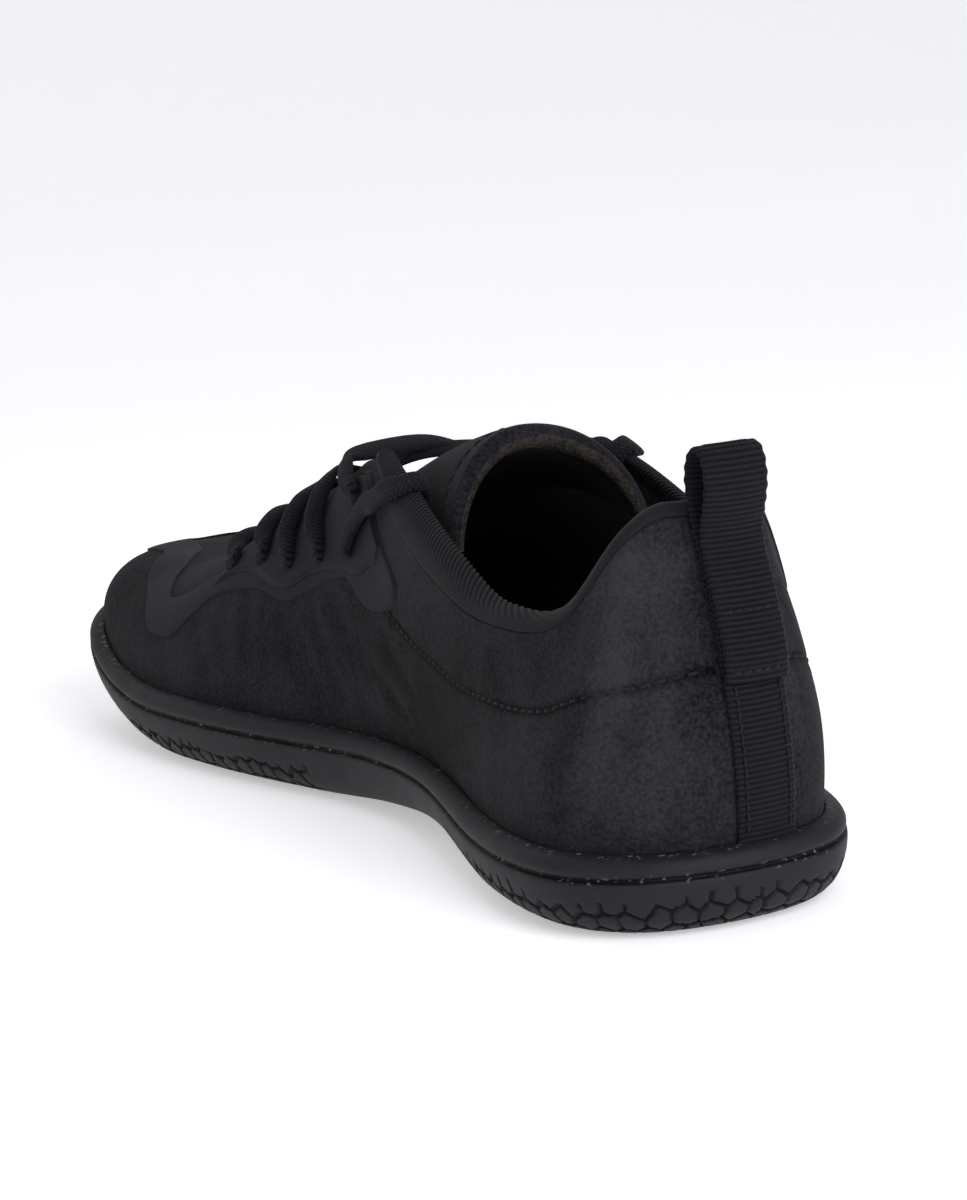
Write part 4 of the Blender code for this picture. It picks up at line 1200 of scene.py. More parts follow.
def make_tongue():
    first, last = TONGUE_ROWS[0][0], TONGUE_ROWS[-1][0]
    stations = np.linspace(first + TIP_INSET, last, TONGUE_LONG)
    angles = np.radians(np.linspace(-TONGUE_WRAP, TONGUE_WRAP, TONGUE_WIDE))
    top = tongue_face(stations, angles)
    down = unit(np.cross(np.gradient(top, axis=0), np.gradient(top, axis=1)))
    thick = np.interp(stations, (first, last), (TONGUE_TIP, TONGUE_ROOT))[:, None]
    inner = top + down * (thick * (0.45 + 0.55 * np.cos(angles)))[:, :, None]
    # the padding is uneven, and drawn in along the line of stitches
    puff = PUFF * np.sin(stations / PUFF_LONG)[:, None] * np.sin(3.0 * angles)
    outer = top - down * (puff - HEM_DRAW * trough(stations - first - HEM_LINE, 1.0)[:, None])[:, :, None]
    # round the tip from the outer face to the inner one
    back = unit(top[0] - top[1])
    middle = 0.5 * (top[0] + inner[0])
    half = 0.5 * (inner[0] - top[0])
    swell = np.linalg.norm(half, axis=1)[:, None]
    turns = np.pi * np.linspace(0.0, 1.0, TIP_STEPS)[1:-1]
    tip = [middle - half * np.cos(turn) + back * swell * np.sin(turn) for turn in turns]
    rows = np.array([*outer[::-1], *tip, *inner])
    count, size = rows.shape[:2]
    faces = [*grid_faces(count, size, closed=False)]
    # the foam shows from part way round the tip to a little way inside, less on the medial side
    depth = np.arange(count - 1)[:, None]
    lateral = ease(np.linspace(-0.6, 1.6, size - 1))[None, :]
    starts = TONGUE_LONG - 1 + TIP_STEPS * (FOAM_STARTS[0] + (FOAM_STARTS[1] - FOAM_STARTS[0]) * lateral)
    inside = (FOAM_INSIDE[0] + (FOAM_INSIDE[1] - FOAM_INSIDE[0]) * lateral) * TONGUE_LONG / (last - first)
    stops = TONGUE_LONG + TIP_STEPS - 3 + inside
    finish = np.where(depth < starts, 0, np.where(depth < stops, 1, 2)).ravel()
    # close the two side edges and the root
    for side in (0, size - 1):
        rim = np.arange(count) * size + side
        for i in range(count // 2):
            rung = list(dict.fromkeys(rim[[i, i + 1, count - 2 - i, count - 1 - i]]))
            if len(rung) > 2:
                faces.append(rung[:: 1 if side else -1])
    root = (count - 1) * size
    faces += [(i, i + 1, root + i + 1, root + i) for i in range(size - 1)]
    finish = np.concatenate([finish, np.zeros(len(faces) - len(finish), int)])
    piece = make_piece("padded_tongue", rows, faces, [NUBUCK, FOAM, LINING], "nubuck", ["tongue"], finish,
                       {"strip": cloth_mark(rows, 1, 0)})


make_tongue()

# %% [markdown]
# ## Collar ribbing
# A band of elastic rib closes the collar, wide by the top eyelets and narrow behind the heel. Its ribs cross it
# steeply at the front and lie down along it towards the heel, because the band was cut straight and pulled round
# the curve. They are fine, but they catch the light along the whole edge, so they are in the mesh.

# %% Tables of the collar ribbing
# Angle between the ribs and the band: share round the upper, degrees
RIB_ANGLES = (
    (0.00, 16.0),
    (0.08, 18.0),
    (0.12, 28.0),
    (0.16, 44.0),
    (0.20, 62.0),
    (0.25, 74.0),
)

# Section of the band: share of the way up from the upper's edge, distance outside the upper's face, rib strength
BAND_SECTION = (
    (-0.06, -0.3, 0.0),
    (0.02, 0.25, 0.0),
    (0.20, 0.55, 0.05),
    (0.42, 0.65, 0.2),
    (0.64, 0.55, 0.6),
    (0.84, 0.15, 1.0),
    (0.95, -0.45, 1.0),
    (1.00, -1.2, 1.0),
    (0.97, -2.0, 1.0),
    (0.86, -2.6, 1.0),
    (0.62, -2.95, 0.9),
    (0.36, -2.9, 0.7),
    (0.12, -2.6, 0.4),
    (-0.06, -1.9, 0.0),
)


# Middle of that section: share of the way up, distance outside the upper's face
BAND_PART, BAND_AWAY = 0.5, -1.2
print(len(BAND_SECTION), "points round the band")

# %% Collar ribbing
RIB_HEIGHT = 0.17
RIB_SAMPLES = 5
BAND_ROWS = 46
BAND_TIP = 9
BAND_TIP_SHARE = 0.008
BAND_GAP = 1.7 * CLEARANCE
ROUGH_STEPS = 400
# at its ends the band thins, spreads or dips by so much, over so many millimetres
THINNING, THIN_LONG = 0.45, 1.6
SPREAD, SPREAD_LONG = 0.35, 8.0
DIP, DIP_LONG = 2.2, 7.0
# share either side of the heel that has no ribs, and over which they come in
PLAIN_HEEL, PLAIN_FADE = 0.06, 0.05


def band_frame(share):
    """Foot of the collar band just above the upper's edge, the way up to its top line, and the way out."""
    share = np.asarray(share, float)
    edge = upper_face(share, 1.0)
    low = edge + unit(edge - upper_face(share, 0.97)) * BAND_GAP
    return low, BAND_TOP(share) - low, on_upper(share, 0.995, 1.0) - on_upper(share, 0.995, 0.0)


def make_ribbing():
    front = COLLAR[-1][0]
    end = section_share(front)
    rough = np.linspace(section_share(front, "lateral") - 1.0, end, ROUGH_STEPS)
    run = run_along(BAND_TOP(rough))
    count = int(run[-1] / RIB_PITCH * RIB_SAMPLES)
    along = np.linspace(0.0, run[-1], count)
    share = np.interp(along, run, rough)
    low, up, out = band_frame(share)
    tall = np.linalg.norm(up, axis=1)
    taper = 1.0 - THINNING + THINNING * ease(along / THIN_LONG) * ease((run[-1] - along) / THIN_LONG)
    ribbed = ease((np.abs(share) - PLAIN_HEEL) / PLAIN_FADE)
    # the medial end spreads where the lace pulls it, the lateral end dips behind the tongue
    spread = 1.0 + SPREAD * ease(1.0 - (run[-1] - along) / SPREAD_LONG)
    dip = DIP * ease(1.0 - along / DIP_LONG)
    # millimetres across the ribs, first along the top line and then down the face
    angle = np.radians(np.interp(np.abs(share), *np.array(RIB_ANGLES).T))
    ribs_passed = np.concatenate([[0.0], np.cumsum(np.sin(angle[1:]) * np.diff(along))])
    falling = np.cos(angle) * np.clip(share / 0.03, -1.0, 1.0)
    section = through(BAND_SECTION, BAND_ROWS)
    step = np.hypot(np.diff(section[:, :1], axis=0) * tall, np.diff(section[:, 1:2], axis=0))
    climbed = np.concatenate([np.zeros((1, count)), np.cumsum(step, axis=0)])
    rings, strip = [], []
    for (part, away, strength), down in zip(section, climbed[section[:, 0].argmax()] - climbed):
        across_ribs = ribs_passed + falling * down
        strength = np.clip(strength, 0.0, 1.0) * ribbed
        valley = 0.5 - 0.5 * np.sin(2 * np.pi * across_ribs / RIB_PITCH)
        rib = RIB_HEIGHT * strength * (1.0 - 2.0 * valley**2)
        lift_part = part + rib / np.maximum(tall, 1.0) * (part - BAND_PART) * 2
        lift_away = away + rib * np.sign(away - BAND_AWAY)
        part_here = 1.0 - (1.0 - BAND_PART - (lift_part - BAND_PART) * taper) * spread
        away_here = BAND_AWAY + (lift_away - BAND_AWAY) * taper
        rings.append(low + up * part_here[:, None] + out * away_here[:, None] - dip[:, None] * UP)
        strip.append(np.column_stack([across_ribs, down, 1.0 - strength]))
    rings = [*np.array(rings).transpose(1, 0, 2)]
    strip = [*np.array(strip).transpose(1, 0, 2)]
    # the medial end rounds off along the throat
    last = rings[-1]
    steps = np.linspace(0.0, 1.0, BAND_TIP + 1)
    slides = upper_face(end + BAND_TIP_SHARE * steps, 1.0)
    for step, slide in zip(steps[1:], slides[1:] - slides[0]):
        rings.append(last.mean(0) + slide + (last - last.mean(0)) * np.sqrt(1.0 - 0.95 * step * step))
        strip.append(strip[-1] + (0.5, 0.0, 0.0))
    make_piece("collar_ribbing", rings, tube_faces(len(rings), BAND_ROWS), [KNIT], "ribbed_knit", ["collar_band"],
               marks={"strip": strip})


make_ribbing()

# %% [markdown]
# ## Webbing at the heel
# The heel strap and the pull loop are one width of grosgrain webbing: cross ribs a millimetre apart and a plain
# selvedge along each edge. A ribbed strip is swept along a path, so one function serves both.

# %% Webbing strip
WEB_PITCH = 1.0
WEB_RIB = 0.10
WEB_SAMPLES = 6
WEB_ACROSS = 22
SCALLOP = 0.22
SCALLOP_PITCH = 2.4 * WEB_PITCH
SELVEDGE = 1.5
HEM_DEPTH = 0.16


def strap_centre(height):
    """Where the strap's middle runs: it leans a little on the way up."""
    return np.interp(height, (RIM(0.0), STRAP_TOP), (STRAP_FOOT, STRAP_HEAD))


def webbing(name, middle, run, out, node):
    """A ribbed strip: middle is a grid of points along and across it, out the way its outer face looks."""
    across = np.linspace(-0.5, 0.5, WEB_ACROSS) * STRAP_WIDTH
    share = across / STRAP_WIDTH * 2
    from_hem = STRAP_WIDTH / 2 - SELVEDGE - np.abs(across)
    wave = np.sin(2 * np.pi * run / WEB_PITCH)[:, None]
    rib = WEB_RIB * wave * (0.35 + 0.65 * ease(from_hem / 0.5)) - HEM_DEPTH * trough(from_hem, 0.45)
    thin = np.sqrt(np.clip(1 - np.abs(share) ** 8, 0.05, 1.0))
    scallop = SCALLOP * np.sin(np.pi * run / SCALLOP_PITCH)[:, None] ** 2 * share**5
    middle = middle + scallop[:, :, None] * (1.0, 0.0, 0.0)
    offset = out * ((0.5 * WEBBING + rib) * thin)[:, :, None]
    strip = np.stack(np.broadcast_arrays(run[:, None], across, 0.0), -1)
    make_piece(name, *closed_sheet(middle + offset, middle - offset), [WEB], "woven_webbing", [node],
               marks={"strip": [strip, strip]})


print(f"ribs {WEB_PITCH} mm apart, selvedge {SELVEDGE} mm wide")

# %% Heel strap
STRAP_GAP = 0.05
STRAP_TUCK = 1.5


def heel_tree():
    """The heel's surface, for rays to find it."""
    grid = np.array([upper_face(shares(480), h) for h in np.linspace(0.0, 1.0, 60)])
    return BVHTree.FromPolygons(grid.reshape(-1, 3).tolist(), grid_faces(*grid.shape[:2]).tolist())


HEEL_TREE = heel_tree()


def heel_at(x, height, stand_off):
    """A point that stands off the back of the heel."""
    hit = HEEL_TREE.ray_cast(Vector((x, -60.0, height)), Vector((0, 1, 0)))[0]
    return (x, hit.y - stand_off, height)


def make_heel_strap():
    foot = RIM(0.0)
    rows = int((STRAP_TOP - foot) / WEB_PITCH * WEB_SAMPLES)
    heights = np.linspace(foot - STRAP_TUCK, STRAP_TOP, rows)
    offsets = STRAP_WIDTH * np.linspace(-0.5, 0.5, WEB_ACROSS)
    middle = np.array([[heel_at(strap_centre(h) + k, max(h, foot + 0.5), STRAP_GAP + WEBBING / 2) for k in offsets]
                       for h in heights])
    middle[:, :, 2] = heights[:, None]
    out = np.broadcast_to((0.0, -1.0, 0.12), middle.shape)
    webbing("heel_webbing", middle, heights - heights[0], out, "heel_strap")


make_heel_strap()

# %% Pull loop
# Pull loop at the heel: height, station of the webbing's middle
LOOP = (
    (48.6, 1.6),
    (55.1, 2.9),
    (61.1, 4.3),
    (67.1, 6.2),
    (73.1, 8.4),
    (79.1, 9.6),
    (83.5, 8.6),
    (85.7, 6.0),
    (84.3, 3.2),
    (80.0, 2.3),
    (75.6, 3.4),
    (71.5, 5.0),
    (67.1, 5.0),
    (61.1, 3.1),
    (55.1, 1.7),
    (50.0, 0.7),
    (47.0, 0.8),
    (44.6, 1.2),
)
# row where its outer leg starts
OUTER_LEG = 9


def make_pull_loop():
    raw = np.array(LOOP)[:, ::-1]
    rows = int(run_along(raw)[-1] / WEB_PITCH * WEB_SAMPLES)
    path = through(raw, rows)
    along = unit(np.gradient(path, axis=0))
    k = np.linspace(-0.5, 0.5, WEB_ACROSS)
    middle = np.zeros((rows, WEB_ACROSS, 3))
    middle[:, :, 0] = strap_centre(path[:, 1])[:, None] + STRAP_WIDTH * k
    middle[:, :, 1] = path[:, :1] + HEEL_BOW * 4 * k * k
    middle[:, :, 2] = path[:, 1:]
    out = np.zeros_like(middle)
    out[:, :, 1] = along[:, 1:]
    out[:, :, 2] = -along[:, :1]
    webbing("pull_webbing", middle, run_along(path), out, "pull_loop")


make_pull_loop()

# %% [markdown]
# ## Eyestay film
# The film is cut with a wavy lower edge, runs up to the throat and reaches forward in an arm over the toe box. It
# lies on the last's own surface with its edges pressed down thin. A second, narrower layer is pressed over it, with
# a small double step along its own wave. Each is a thin closed sheet, so the steps throw real shadows.

# %% Eyestay film
FILM_LONG = 560
FILM_ACROSS = 44
FILM_TOP = 0.55
FILM_SUNK = -0.25
FILM_UNDER = -0.35
FILM_EDGE = 0.6
REAR_SLOPE = 1.4


def film_edges():
    """Shares along the film from end to end, and its lower and upper edge as curves."""
    rows = np.array(FILM_ROWS)
    share = np.concatenate([rows[:-1, 0], other_side(rows[::-1, 0])])
    return share, *(smooth(share, np.concatenate([edge[:-1], edge[::-1]])) for edge in rows.T[1:])


def press_film(name, share, heights, lift, under, nodes=()):
    """A thin sheet on the upper at the heights of a grid, drawn in at the eyelets; lift reads its points."""
    face = np.array([upper_face(share, h) for h in heights])
    out = np.array([upper_out(share, h) for h in heights])
    base = face + out * dimples(face)[:, :, None]
    sheet = closed_sheet(base + out * lift(face)[:, :, None], base + out * under)
    make_piece(name, *sheet, [FILM_FINISH], "moulded_film", nodes)


def make_film():
    ends, low, high = film_edges()
    share = np.linspace(ends[0], ends[-1], FILM_LONG)
    steps = 0.5 - 0.5 * np.cos(np.pi * np.linspace(0.0, 1.0, FILM_ACROSS))
    # the edge slopes more gently at the rear
    slope = FILM_EDGE * (1.0 + REAR_SLOPE * ease((0.25 - np.minimum(share, other_side(share))) / 0.02))

    def lift(face):
        outline = np.concatenate([face[0], face[-1], face[:, 0], face[:, -1]])
        return FILM_SUNK + (FILM_TOP - FILM_SUNK) * ease(near(face, outline) / slope)

    heights = low(share) + (high(share) - low(share)) * steps[:, None]
    press_film("eyestay_film", share, heights, lift, FILM_UNDER, ["overlay_film"])


make_film()

# %% Second layer of the film
LAYER_LONG = 360
LAYER_ROWS_UP = 26
LAYER_UNDER = 0.1
LAYER_REAR, LAYER_FRONT = 1.5, 6.0

# Lower edge of the second layer: share round the upper on the medial side, share of the wall's height
LAYER_EDGE = (
    (0.2190, 0.712),
    (0.2256, 0.651),
    (0.2297, 0.599),
    (0.2333, 0.572),
    (0.2377, 0.562),
    (0.2439, 0.554),
    (0.2514, 0.541),
    (0.2604, 0.529),
    (0.2678, 0.509),
    (0.2736, 0.480),
    (0.2794, 0.462),
    (0.2860, 0.460),
    (0.2922, 0.472),
    (0.3011, 0.503),
    (0.3117, 0.534),
    (0.3225, 0.541),
    (0.3318, 0.514),
    (0.3416, 0.475),
)

# Its double step: millimetres up from the edge, millimetres off the upper
LAYER_STEPS = (
    (0.00, 0.40),
    (0.02, 0.74),
    (0.14, 0.80),
    (1.20, 0.80),
    (1.26, 0.98),
    (1.45, 1.04),
)


def make_layer(side):
    _, _, high = film_edges()
    rows = np.array(LAYER_EDGE)
    medial = np.linspace(rows[0, 0], rows[-1, 0], LAYER_LONG)
    edge = smooth(*rows.T)(medial)
    top = np.maximum(high(medial) - 0.025, edge + 0.02)
    share = on_side(medial, side)
    tall = np.linalg.norm(upper_face(share, top) - upper_face(share, edge), axis=1)
    part = np.linspace(0.0, 1.0, LAYER_ROWS_UP)[1:]
    climbs = [np.minimum(up, 0.9 * tall) for up, _ in LAYER_STEPS]
    climbs += [climbs[-1] + (tall - climbs[-1]) * p for p in part]
    first, highest = LAYER_STEPS[0][1], LAYER_STEPS[-1][1]
    lifts = np.array([up for _, up in LAYER_STEPS] + [highest] * (len(part) - 2) + [0.95, 0.40])

    def lift(face):
        # the steps die out at both ends
        run = run_along(face[0])
        ends = ease(run / LAYER_REAR) * ease((run[-1] - run) / LAYER_FRONT)
        return first + (lifts[:, None] - first) * ends

    heights = [edge + (top - edge) * climb / tall for climb in climbs]
    press_film(f"eyestay_layer_{side}", share, heights, lift, LAYER_UNDER)


for side in SIDES:
    make_layer(side)

# %% [markdown]
# ## Lace
# A flat tubular lace enters each punched eyelet from outside, bunches up there, runs over the edge and crosses the
# tongue. Curves with a bevel could carry it, but a lace is not round: it is widest where it lies flat and narrows
# at the holes. So an oval section is swept along each route, with its width set stop by stop.

# %% Where the lace lies
LACE_SOFT = 0.3


def lie(share, height, lift=LACE_LIFT):
    """A point of the lace on the upper and the direction across it there, towards the toe."""
    here, ahead = on_upper(np.array([share, share + FACE_STEP]), height, lift)
    across = unit(ahead - here)
    return here, across if across[1] > 0 else -across


def over_tongue(station, angle, lift=0.0):
    """A point of the lace on the tongue and the direction across it there."""
    angle = np.radians(angle)
    stations = np.array([station, station + 2.0])
    close = tongue_face(stations, np.array([angle]))[:, 0]
    across = close[1] - close[0]
    turn = tongue_face(stations[:1], np.array([angle - 0.02, angle + 0.02]))[0]
    out = unit(np.cross(turn[1] - turn[0], across))
    return close[0] + out * (CLEARANCE + LACE_SOFT + LACE_THICK / 2 + lift), unit(across)


print(f"lace {LACE_THICK} mm thick, {LACE_LIFT:.1f} mm off the upper")

# %% Lace strip
LACE_AROUND = 20
LACE_STEP = 0.55
LACE_FULL = 1.15
BUNCHING = 1.4
OVAL = 0.8
# how much a turn of the lace counts against its way along
SIDE_WEIGHT = 8.0


def lace(name, stops, widths, nodes=()):
    """An oval strip through stops, each a point and the direction across; widths are read along the route."""
    centre, side = np.array(stops).transpose(1, 0, 2)
    side = np.where(side[:, 1:2] > 0, side, -side)
    count = int(run_along(centre)[-1] / LACE_STEP)
    both = through(np.concatenate([centre, side * SIDE_WEIGHT], 1), count)
    middle, across = both[:, :3], both[:, 3:]
    along = unit(np.gradient(middle, axis=0))
    across = unit(across - along * np.einsum("ij,ij->i", along, across)[:, None])
    out = np.cross(across, along)
    run = run_along(middle)
    wide = np.interp(run / run[-1], np.linspace(0.0, 1.0, len(widths)), widths)[:, None]
    # the lace thickens where it is bunched
    thick = LACE_FULL * LACE_THICK * (LACE_WIDTH / wide) ** BUNCHING
    angle = 2 * np.pi * np.arange(LACE_AROUND) / LACE_AROUND
    flat, tall = (np.sign(wave) * np.abs(wave) ** OVAL for wave in (np.cos(angle), np.sin(angle)))
    spread = wide / 2 * flat
    grid = middle[:, None] + across[:, None] * spread[:, :, None] + out[:, None] * (thick / 2 * tall)[:, :, None]
    strip = np.stack(np.broadcast_arrays(run[:, None], spread, 0.0), -1)
    piece = make_piece(name, grid, tube_faces(count, LACE_AROUND), [LACE], "woven_lace", nodes,
                       marks={"strip": strip})
    return piece, middle


print(f"a bunched lace is {LACE_FULL * LACE_THICK:.2f} mm thick")

# %% From an eyelet to the edge
TWIST = 0.65
# share of the way to the edge, share of the twist
CLIMB = ((0.3, 1.0), (0.65, 0.8), (1.0, 0.1))


def into_eyelet(share, height):
    """Stops that come up out of a punched hole and lie down on the film."""
    return [lie(share, height - 0.03, -1.2), lie(share, height - 0.02, 0.2), lie(share, height + 0.02, 1.7)]


def up_the_side(eyelet, side, top, lift, turn=TWIST):
    """Stops from an eyelet to the height top, leaning forward, standing off more and twisting to the rear."""
    share, height, lean = eyelet
    stops = into_eyelet(on_side(share, side), height)
    for step, twist in CLIMB:
        here = on_side(share + lean * step, side)
        up = height + step * (top - height)
        point, across = lie(here, up, LACE_LIFT + lift * step + LACE_SOFT * twist)
        out = upper_out(np.array([here]), min(up, 0.99))[0]
        stops.append((point, across * np.cos(turn * twist) + out * np.sin(turn * twist)))
    return stops


print(f"the lace twists by {np.degrees(TWIST):.0f} degrees on its way up")

# %% Crossings and bar
BUNCHED = 4.2
FLAT = 5.2
EDGE_HEIGHT = 0.97
TOP_TILT = 0.8
TOP_TWIST = 0.2
# Rise of each crossing over the tongue, from the toe up: strand on top, strand below
CROSS_RISE = (
    (1.2, 0.0),
    (1.2, 0.0),
    (1.3, 0.0),
    (6.3, 4.3),
)


# Where a far end goes down beside the tongue: distance ahead, angle round it, share of the rise, lift
FAR_END = (
    (4.0, 30.0, 0.75, 0.0),
    (5.0, 58.0, 0.35, -0.2),
    (5.5, 78.0, 0.0, -1.0),
)


def crossing(number, eyelet, side, rise):
    station = 0.5 * sum(up_the_side(eyelet, each, EDGE_HEIGHT, 0.0)[-1][0][1] for each in SIDES)
    highest = number == len(CROSS_RISE)
    stops = up_the_side(eyelet, side, 1.0, 0.8, TOP_TWIST if highest else TWIST)
    edge = stops[-1][0]
    point, flat = over_tongue(station + 2.0, 0.0, rise)
    # the highest run stands free of the tongue and tilts to the rear
    tilt = TOP_TILT * highest * UP
    stops += [(edge + 0.2 * (point - edge) + UP, flat + tilt), (point, flat + tilt)]
    for ahead, angle, part, lift in FAR_END:
        point, flat = over_tongue(station + ahead, angle if side == "medial" else -angle, part * rise + lift)
        stops.append((point, flat + tilt * max(0.0, 1.0 - angle / 70.0)))
    nodes = [f"lace_cross_{number}"] if side == "medial" else []
    lace(f"lace_{number}_{side}", stops, (BUNCHED - 0.4, BUNCHED, FLAT, FLAT, FLAT, FLAT), nodes)


def make_crossings():
    for number, (eyelet, rises) in enumerate(zip(EYELETS[1:], CROSS_RISE), 1):
        for side, rise in zip(SIDES, rises):
            crossing(number, eyelet, side, rise)
    stops = up_the_side(EYELETS[0], "medial", EDGE_HEIGHT, 0.5)
    stops.append(over_tongue(stops[-1][0][1] + 3.0, 0.0))
    stops += up_the_side(EYELETS[0], "lateral", EDGE_HEIGHT, 0.5)[::-1]
    lace("lace_bar_front", stops, (BUNCHED, BUNCHED, FLAT, FLAT, FLAT, BUNCHED, BUNCHED), ["lace_bar"])


make_crossings()

# %% [markdown]
# ## Lace ends
# The last strand on each side leaves the rear eyelet, lies over the collar ribbing and is tucked inside. These are
# the free ends of the lace.

# %% Lace ends
# Last strand up the side: share of its lean to the rear, share of its climb to the band
LAST_CLIMB = (
    (0.00, 0.00),
    (0.10, 0.36),
    (0.30, 0.72),
    (0.56, 1.00),
)

# Its bend over the collar band: share of its lean, share of the band's height, distance outside it, distance
# above it
LAST_BEND = (
    (0.80, 0.50, 2.2, 0.0),
    (0.95, 0.88, 1.7, 0.9),
    (1.00, 1.00, 0.2, 1.9),
    (1.00, 1.00, -1.8, 1.9),
    (1.00, 0.92, -3.8, 1.0),
    (1.00, 0.72, -4.8, 0.0),
)
LAST_TOP = 0.94
LAST_WIDTHS = (LAST_WIDTH - 1.0, LAST_WIDTH - 0.4, LAST_WIDTH, LAST_WIDTH)
CORD_POINTS = 36


def lace_end(side):
    share, height = LAST_EYELET
    lean = LAST_LEAN if side == "medial" else LAST_LEAN_LATERAL
    stops = into_eyelet(on_side(share, side), height)[1:2]
    for leaning, climb in LAST_CLIMB:
        here = on_side(share - lean * leaning, side)
        stops.append(lie(here, height + climb * (LAST_TOP - height), LACE_LIFT + LACE_SOFT * climb))
    along = stops[-1][1]
    for leaning, rise, away, above in LAST_BEND:
        here = on_side(share - lean * leaning, side)
        low, up, out = (vector[0] for vector in band_frame(np.array([here])))
        stops.append((low + up * rise + out * away + unit(up) * above, along))
    piece, route = lace(f"lace_end_strand_{side}", stops, LAST_WIDTHS, [f"lace_end_{side}"])
    length = run_along(route)[-1]
    points = (route[np.linspace(0, len(route) - 1, CORD_POINTS).astype(int)] + SHIFT) * MM
    tuple(points[0])
    [tuple(p) for p in points]
    print(f"lace end {side}: {length:.1f} mm")


for side in SIDES:
    lace_end(side)

# %% [markdown]
# ## Stitches
# Thread is thin, but a seam reads as a row of small dashes that dip into the leather. Each stitch is a short bent
# rod whose ends go below the surface. One function sews along any line of points, given which way is out.

# %% Stitches
STITCH_SIDES = 6
STITCH_RINGS = 5


def sew(name, line, out, pitch, length, radius, slot, lift=0.25):
    """Stitches along a line of points: one every pitch, each of that length."""
    run = run_along(line)
    bow = 1.5 * radius * np.abs(np.linspace(-1, 1, STITCH_RINGS)) ** 3 + 0.1
    angle = 2 * np.pi * np.arange(STITCH_SIDES) / STITCH_SIDES
    points, faces = [], []
    for start in np.arange(0.5 * (pitch - length), run[-1] - length, pitch):
        at = np.linspace(start, start + length, STITCH_RINGS)
        middle, way = (np.stack([np.interp(at, run, column) for column in read.T], 1) for read in (line, out))
        way = unit(way)
        middle = middle + way * (lift - bow)[:, None]
        side = unit(np.cross(unit(np.gradient(middle, axis=0)), way))
        ring = side[:, None] * np.cos(angle)[None, :, None] + way[:, None] * np.sin(angle)[None, :, None]
        faces += tube_faces(STITCH_RINGS, STITCH_SIDES, len(points) * STITCH_RINGS * STITCH_SIDES)
        points.append(middle[:, None] + ring * radius)
    points = np.array(points).reshape(-1, 3)
    strip = np.column_stack([points[:, 1] + points[:, 2], points[:, 0], 0 * points[:, 0]])
    make_piece(name, points, faces, [THREAD], slot, marks={"strip": strip})


def sew_quarter(side):
    places = seam_places(side)
    out = upper_out(*places)
    sew(f"quarter_stitching_{side}", upper_face(*places) - out * SEAM_DEPTH, out, 2.9, 2.0, 0.27, "nubuck")


def sew_tongue():
    station = TONGUE_ROWS[0][0] + HEM_LINE
    line, ahead = tongue_face(np.array([station, station + 0.5]), np.radians(np.linspace(-80, 80, 120)))
    out = unit(np.cross(np.gradient(line, axis=0), ahead - line))
    out *= np.where(out[:, 2:] < 0, -1.0, 1.0)
    sew("tongue_stitching", line - out * 0.3, out, 3.0, 2.0, 0.27, "nubuck")


for side in SIDES:
    sew_quarter(side)
sew_tongue()

# %% Stitches of the webbing
LOOP_STITCHES = (46.6, 57.2)
STRAP_STITCHES_TOP = 46.5


def sew_webbing():
    back = np.array(LOOP[OUTER_LEG:])[::-1].T
    k = np.linspace(-0.44, 0.44, 40)
    for number, height in enumerate(LOOP_STITCHES, 1):
        x = strap_centre(height) + STRAP_WIDTH * k
        y = np.interp(height, *back) + HEEL_BOW * 4 * k * k - WEBBING / 2
        line = np.column_stack([x, y, np.full(len(k), height)])
        out = np.broadcast_to((0.0, -1.0, 0.0), line.shape)
        sew(f"webbing_stitching_{number}", line, out, 1.9, 1.35, 0.24, "woven_webbing")
    heights = np.linspace(RIM(0.0) + 1.0, STRAP_STITCHES_TOP, 60)
    for side, edge in zip(SIDES, (-1, 1)):
        x = strap_centre(heights) + edge * (STRAP_WIDTH / 2 - SELVEDGE)
        line = np.array([heel_at(a, h, STRAP_GAP + WEBBING) for a, h in zip(x, heights)])
        out = np.broadcast_to((0.0, -1.0, 0.1), line.shape)
        sew(f"strap_stitching_{side}", line, out, 2.1, 1.6, 0.2, "woven_webbing", 0.38)


sew_webbing()

# %% [markdown]
# ## Studio
# The photograph is a cut-out on white, lit softly from above and from behind the heel. A pale floor, a large soft key
# light, a weaker fill and a bright surround give the same long, low highlights on matt black.

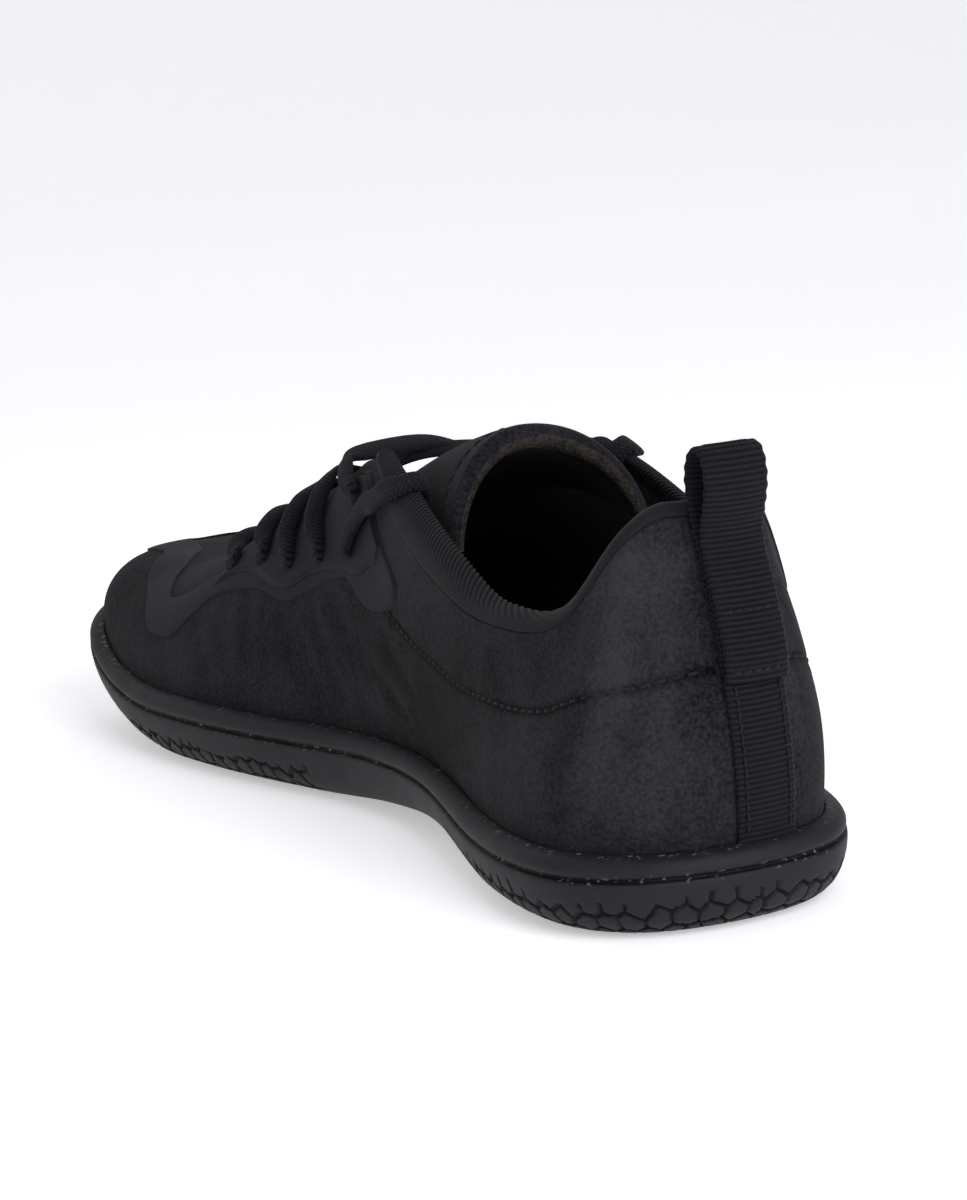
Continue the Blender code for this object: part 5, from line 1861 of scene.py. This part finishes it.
# %% Floor
FLOOR_HALF = 4.0
FLOOR_GLOW = 0.41
SWEEP_START = 1.4
WALL_TOP = 5.0


def make_floor():
    made, *_ = start_finish("painted_floor", Roughness=0.9, Base_Color=colour("#f7f7f7"),
                            Emission_Color=colour("#ffffff"), Emission_Strength=FLOOR_GLOW)
    mesh = bpy.data.meshes.new("studio_floor")
    turn = np.linspace(0.0, np.pi / 2, 13)
    rows = [(-FLOOR_HALF, 0.0), *zip(SWEEP_START + np.sin(turn), 1 - np.cos(turn)), (SWEEP_START + 1.0, WALL_TOP)]
    points = [(x, y, z) for y, z in rows for x in (-FLOOR_HALF, FLOOR_HALF)]
    mesh.from_pydata(points, [], grid_faces(len(rows), 2, closed=False).tolist())
    mesh.polygons.foreach_set("use_smooth", np.ones(len(mesh.polygons), bool))
    mesh.materials.append(made)
    floor = bpy.data.objects.new("studio_floor", mesh)
    bpy.context.scene.collection.objects.link(floor)
    print("floor", 2 * FLOOR_HALF, "m wide, swept up into a wall")


make_floor()

# %% Light
LAMP_COLOUR = (0.93, 0.94, 1.0)
WORLD_STRENGTH = 0.33
AIM = Vector((0.0, 0.0, 0.04))

# Lamps: name, place in metres, size in metres, power in watts
LAMPS = (
    ("key_softbox", (0.08, -0.88, 0.50), 0.7, 7.6),
    ("left_softbox", (-0.95, -0.35, 0.55), 0.7, 0.3),
    ("top_softbox", (-0.05, 0.20, 1.1), 0.8, 1.2),
)


def make_light():
    world = bpy.data.worlds.new("studio_white")
    world.use_nodes = True
    wire(world.node_tree, world.node_tree.nodes["Background"],
         {"Color": (*LAMP_COLOUR, 1.0), "Strength": WORLD_STRENGTH})
    bpy.context.scene.world = world
    for name, place, size, power in LAMPS:
        light = bpy.data.lights.new(name, "AREA")
        light.size = size
        light.energy = power
        light.color = LAMP_COLOUR
        lamp = bpy.data.objects.new(name, light)
        lamp.location = place
        lamp.rotation_euler = (AIM - Vector(place)).to_track_quat("-Z", "Y").to_euler()
        bpy.context.scene.collection.objects.link(lamp)
        print(f"{name}: {power} W")
    bpy.context.scene.view_settings.view_transform = "Standard"


make_light()
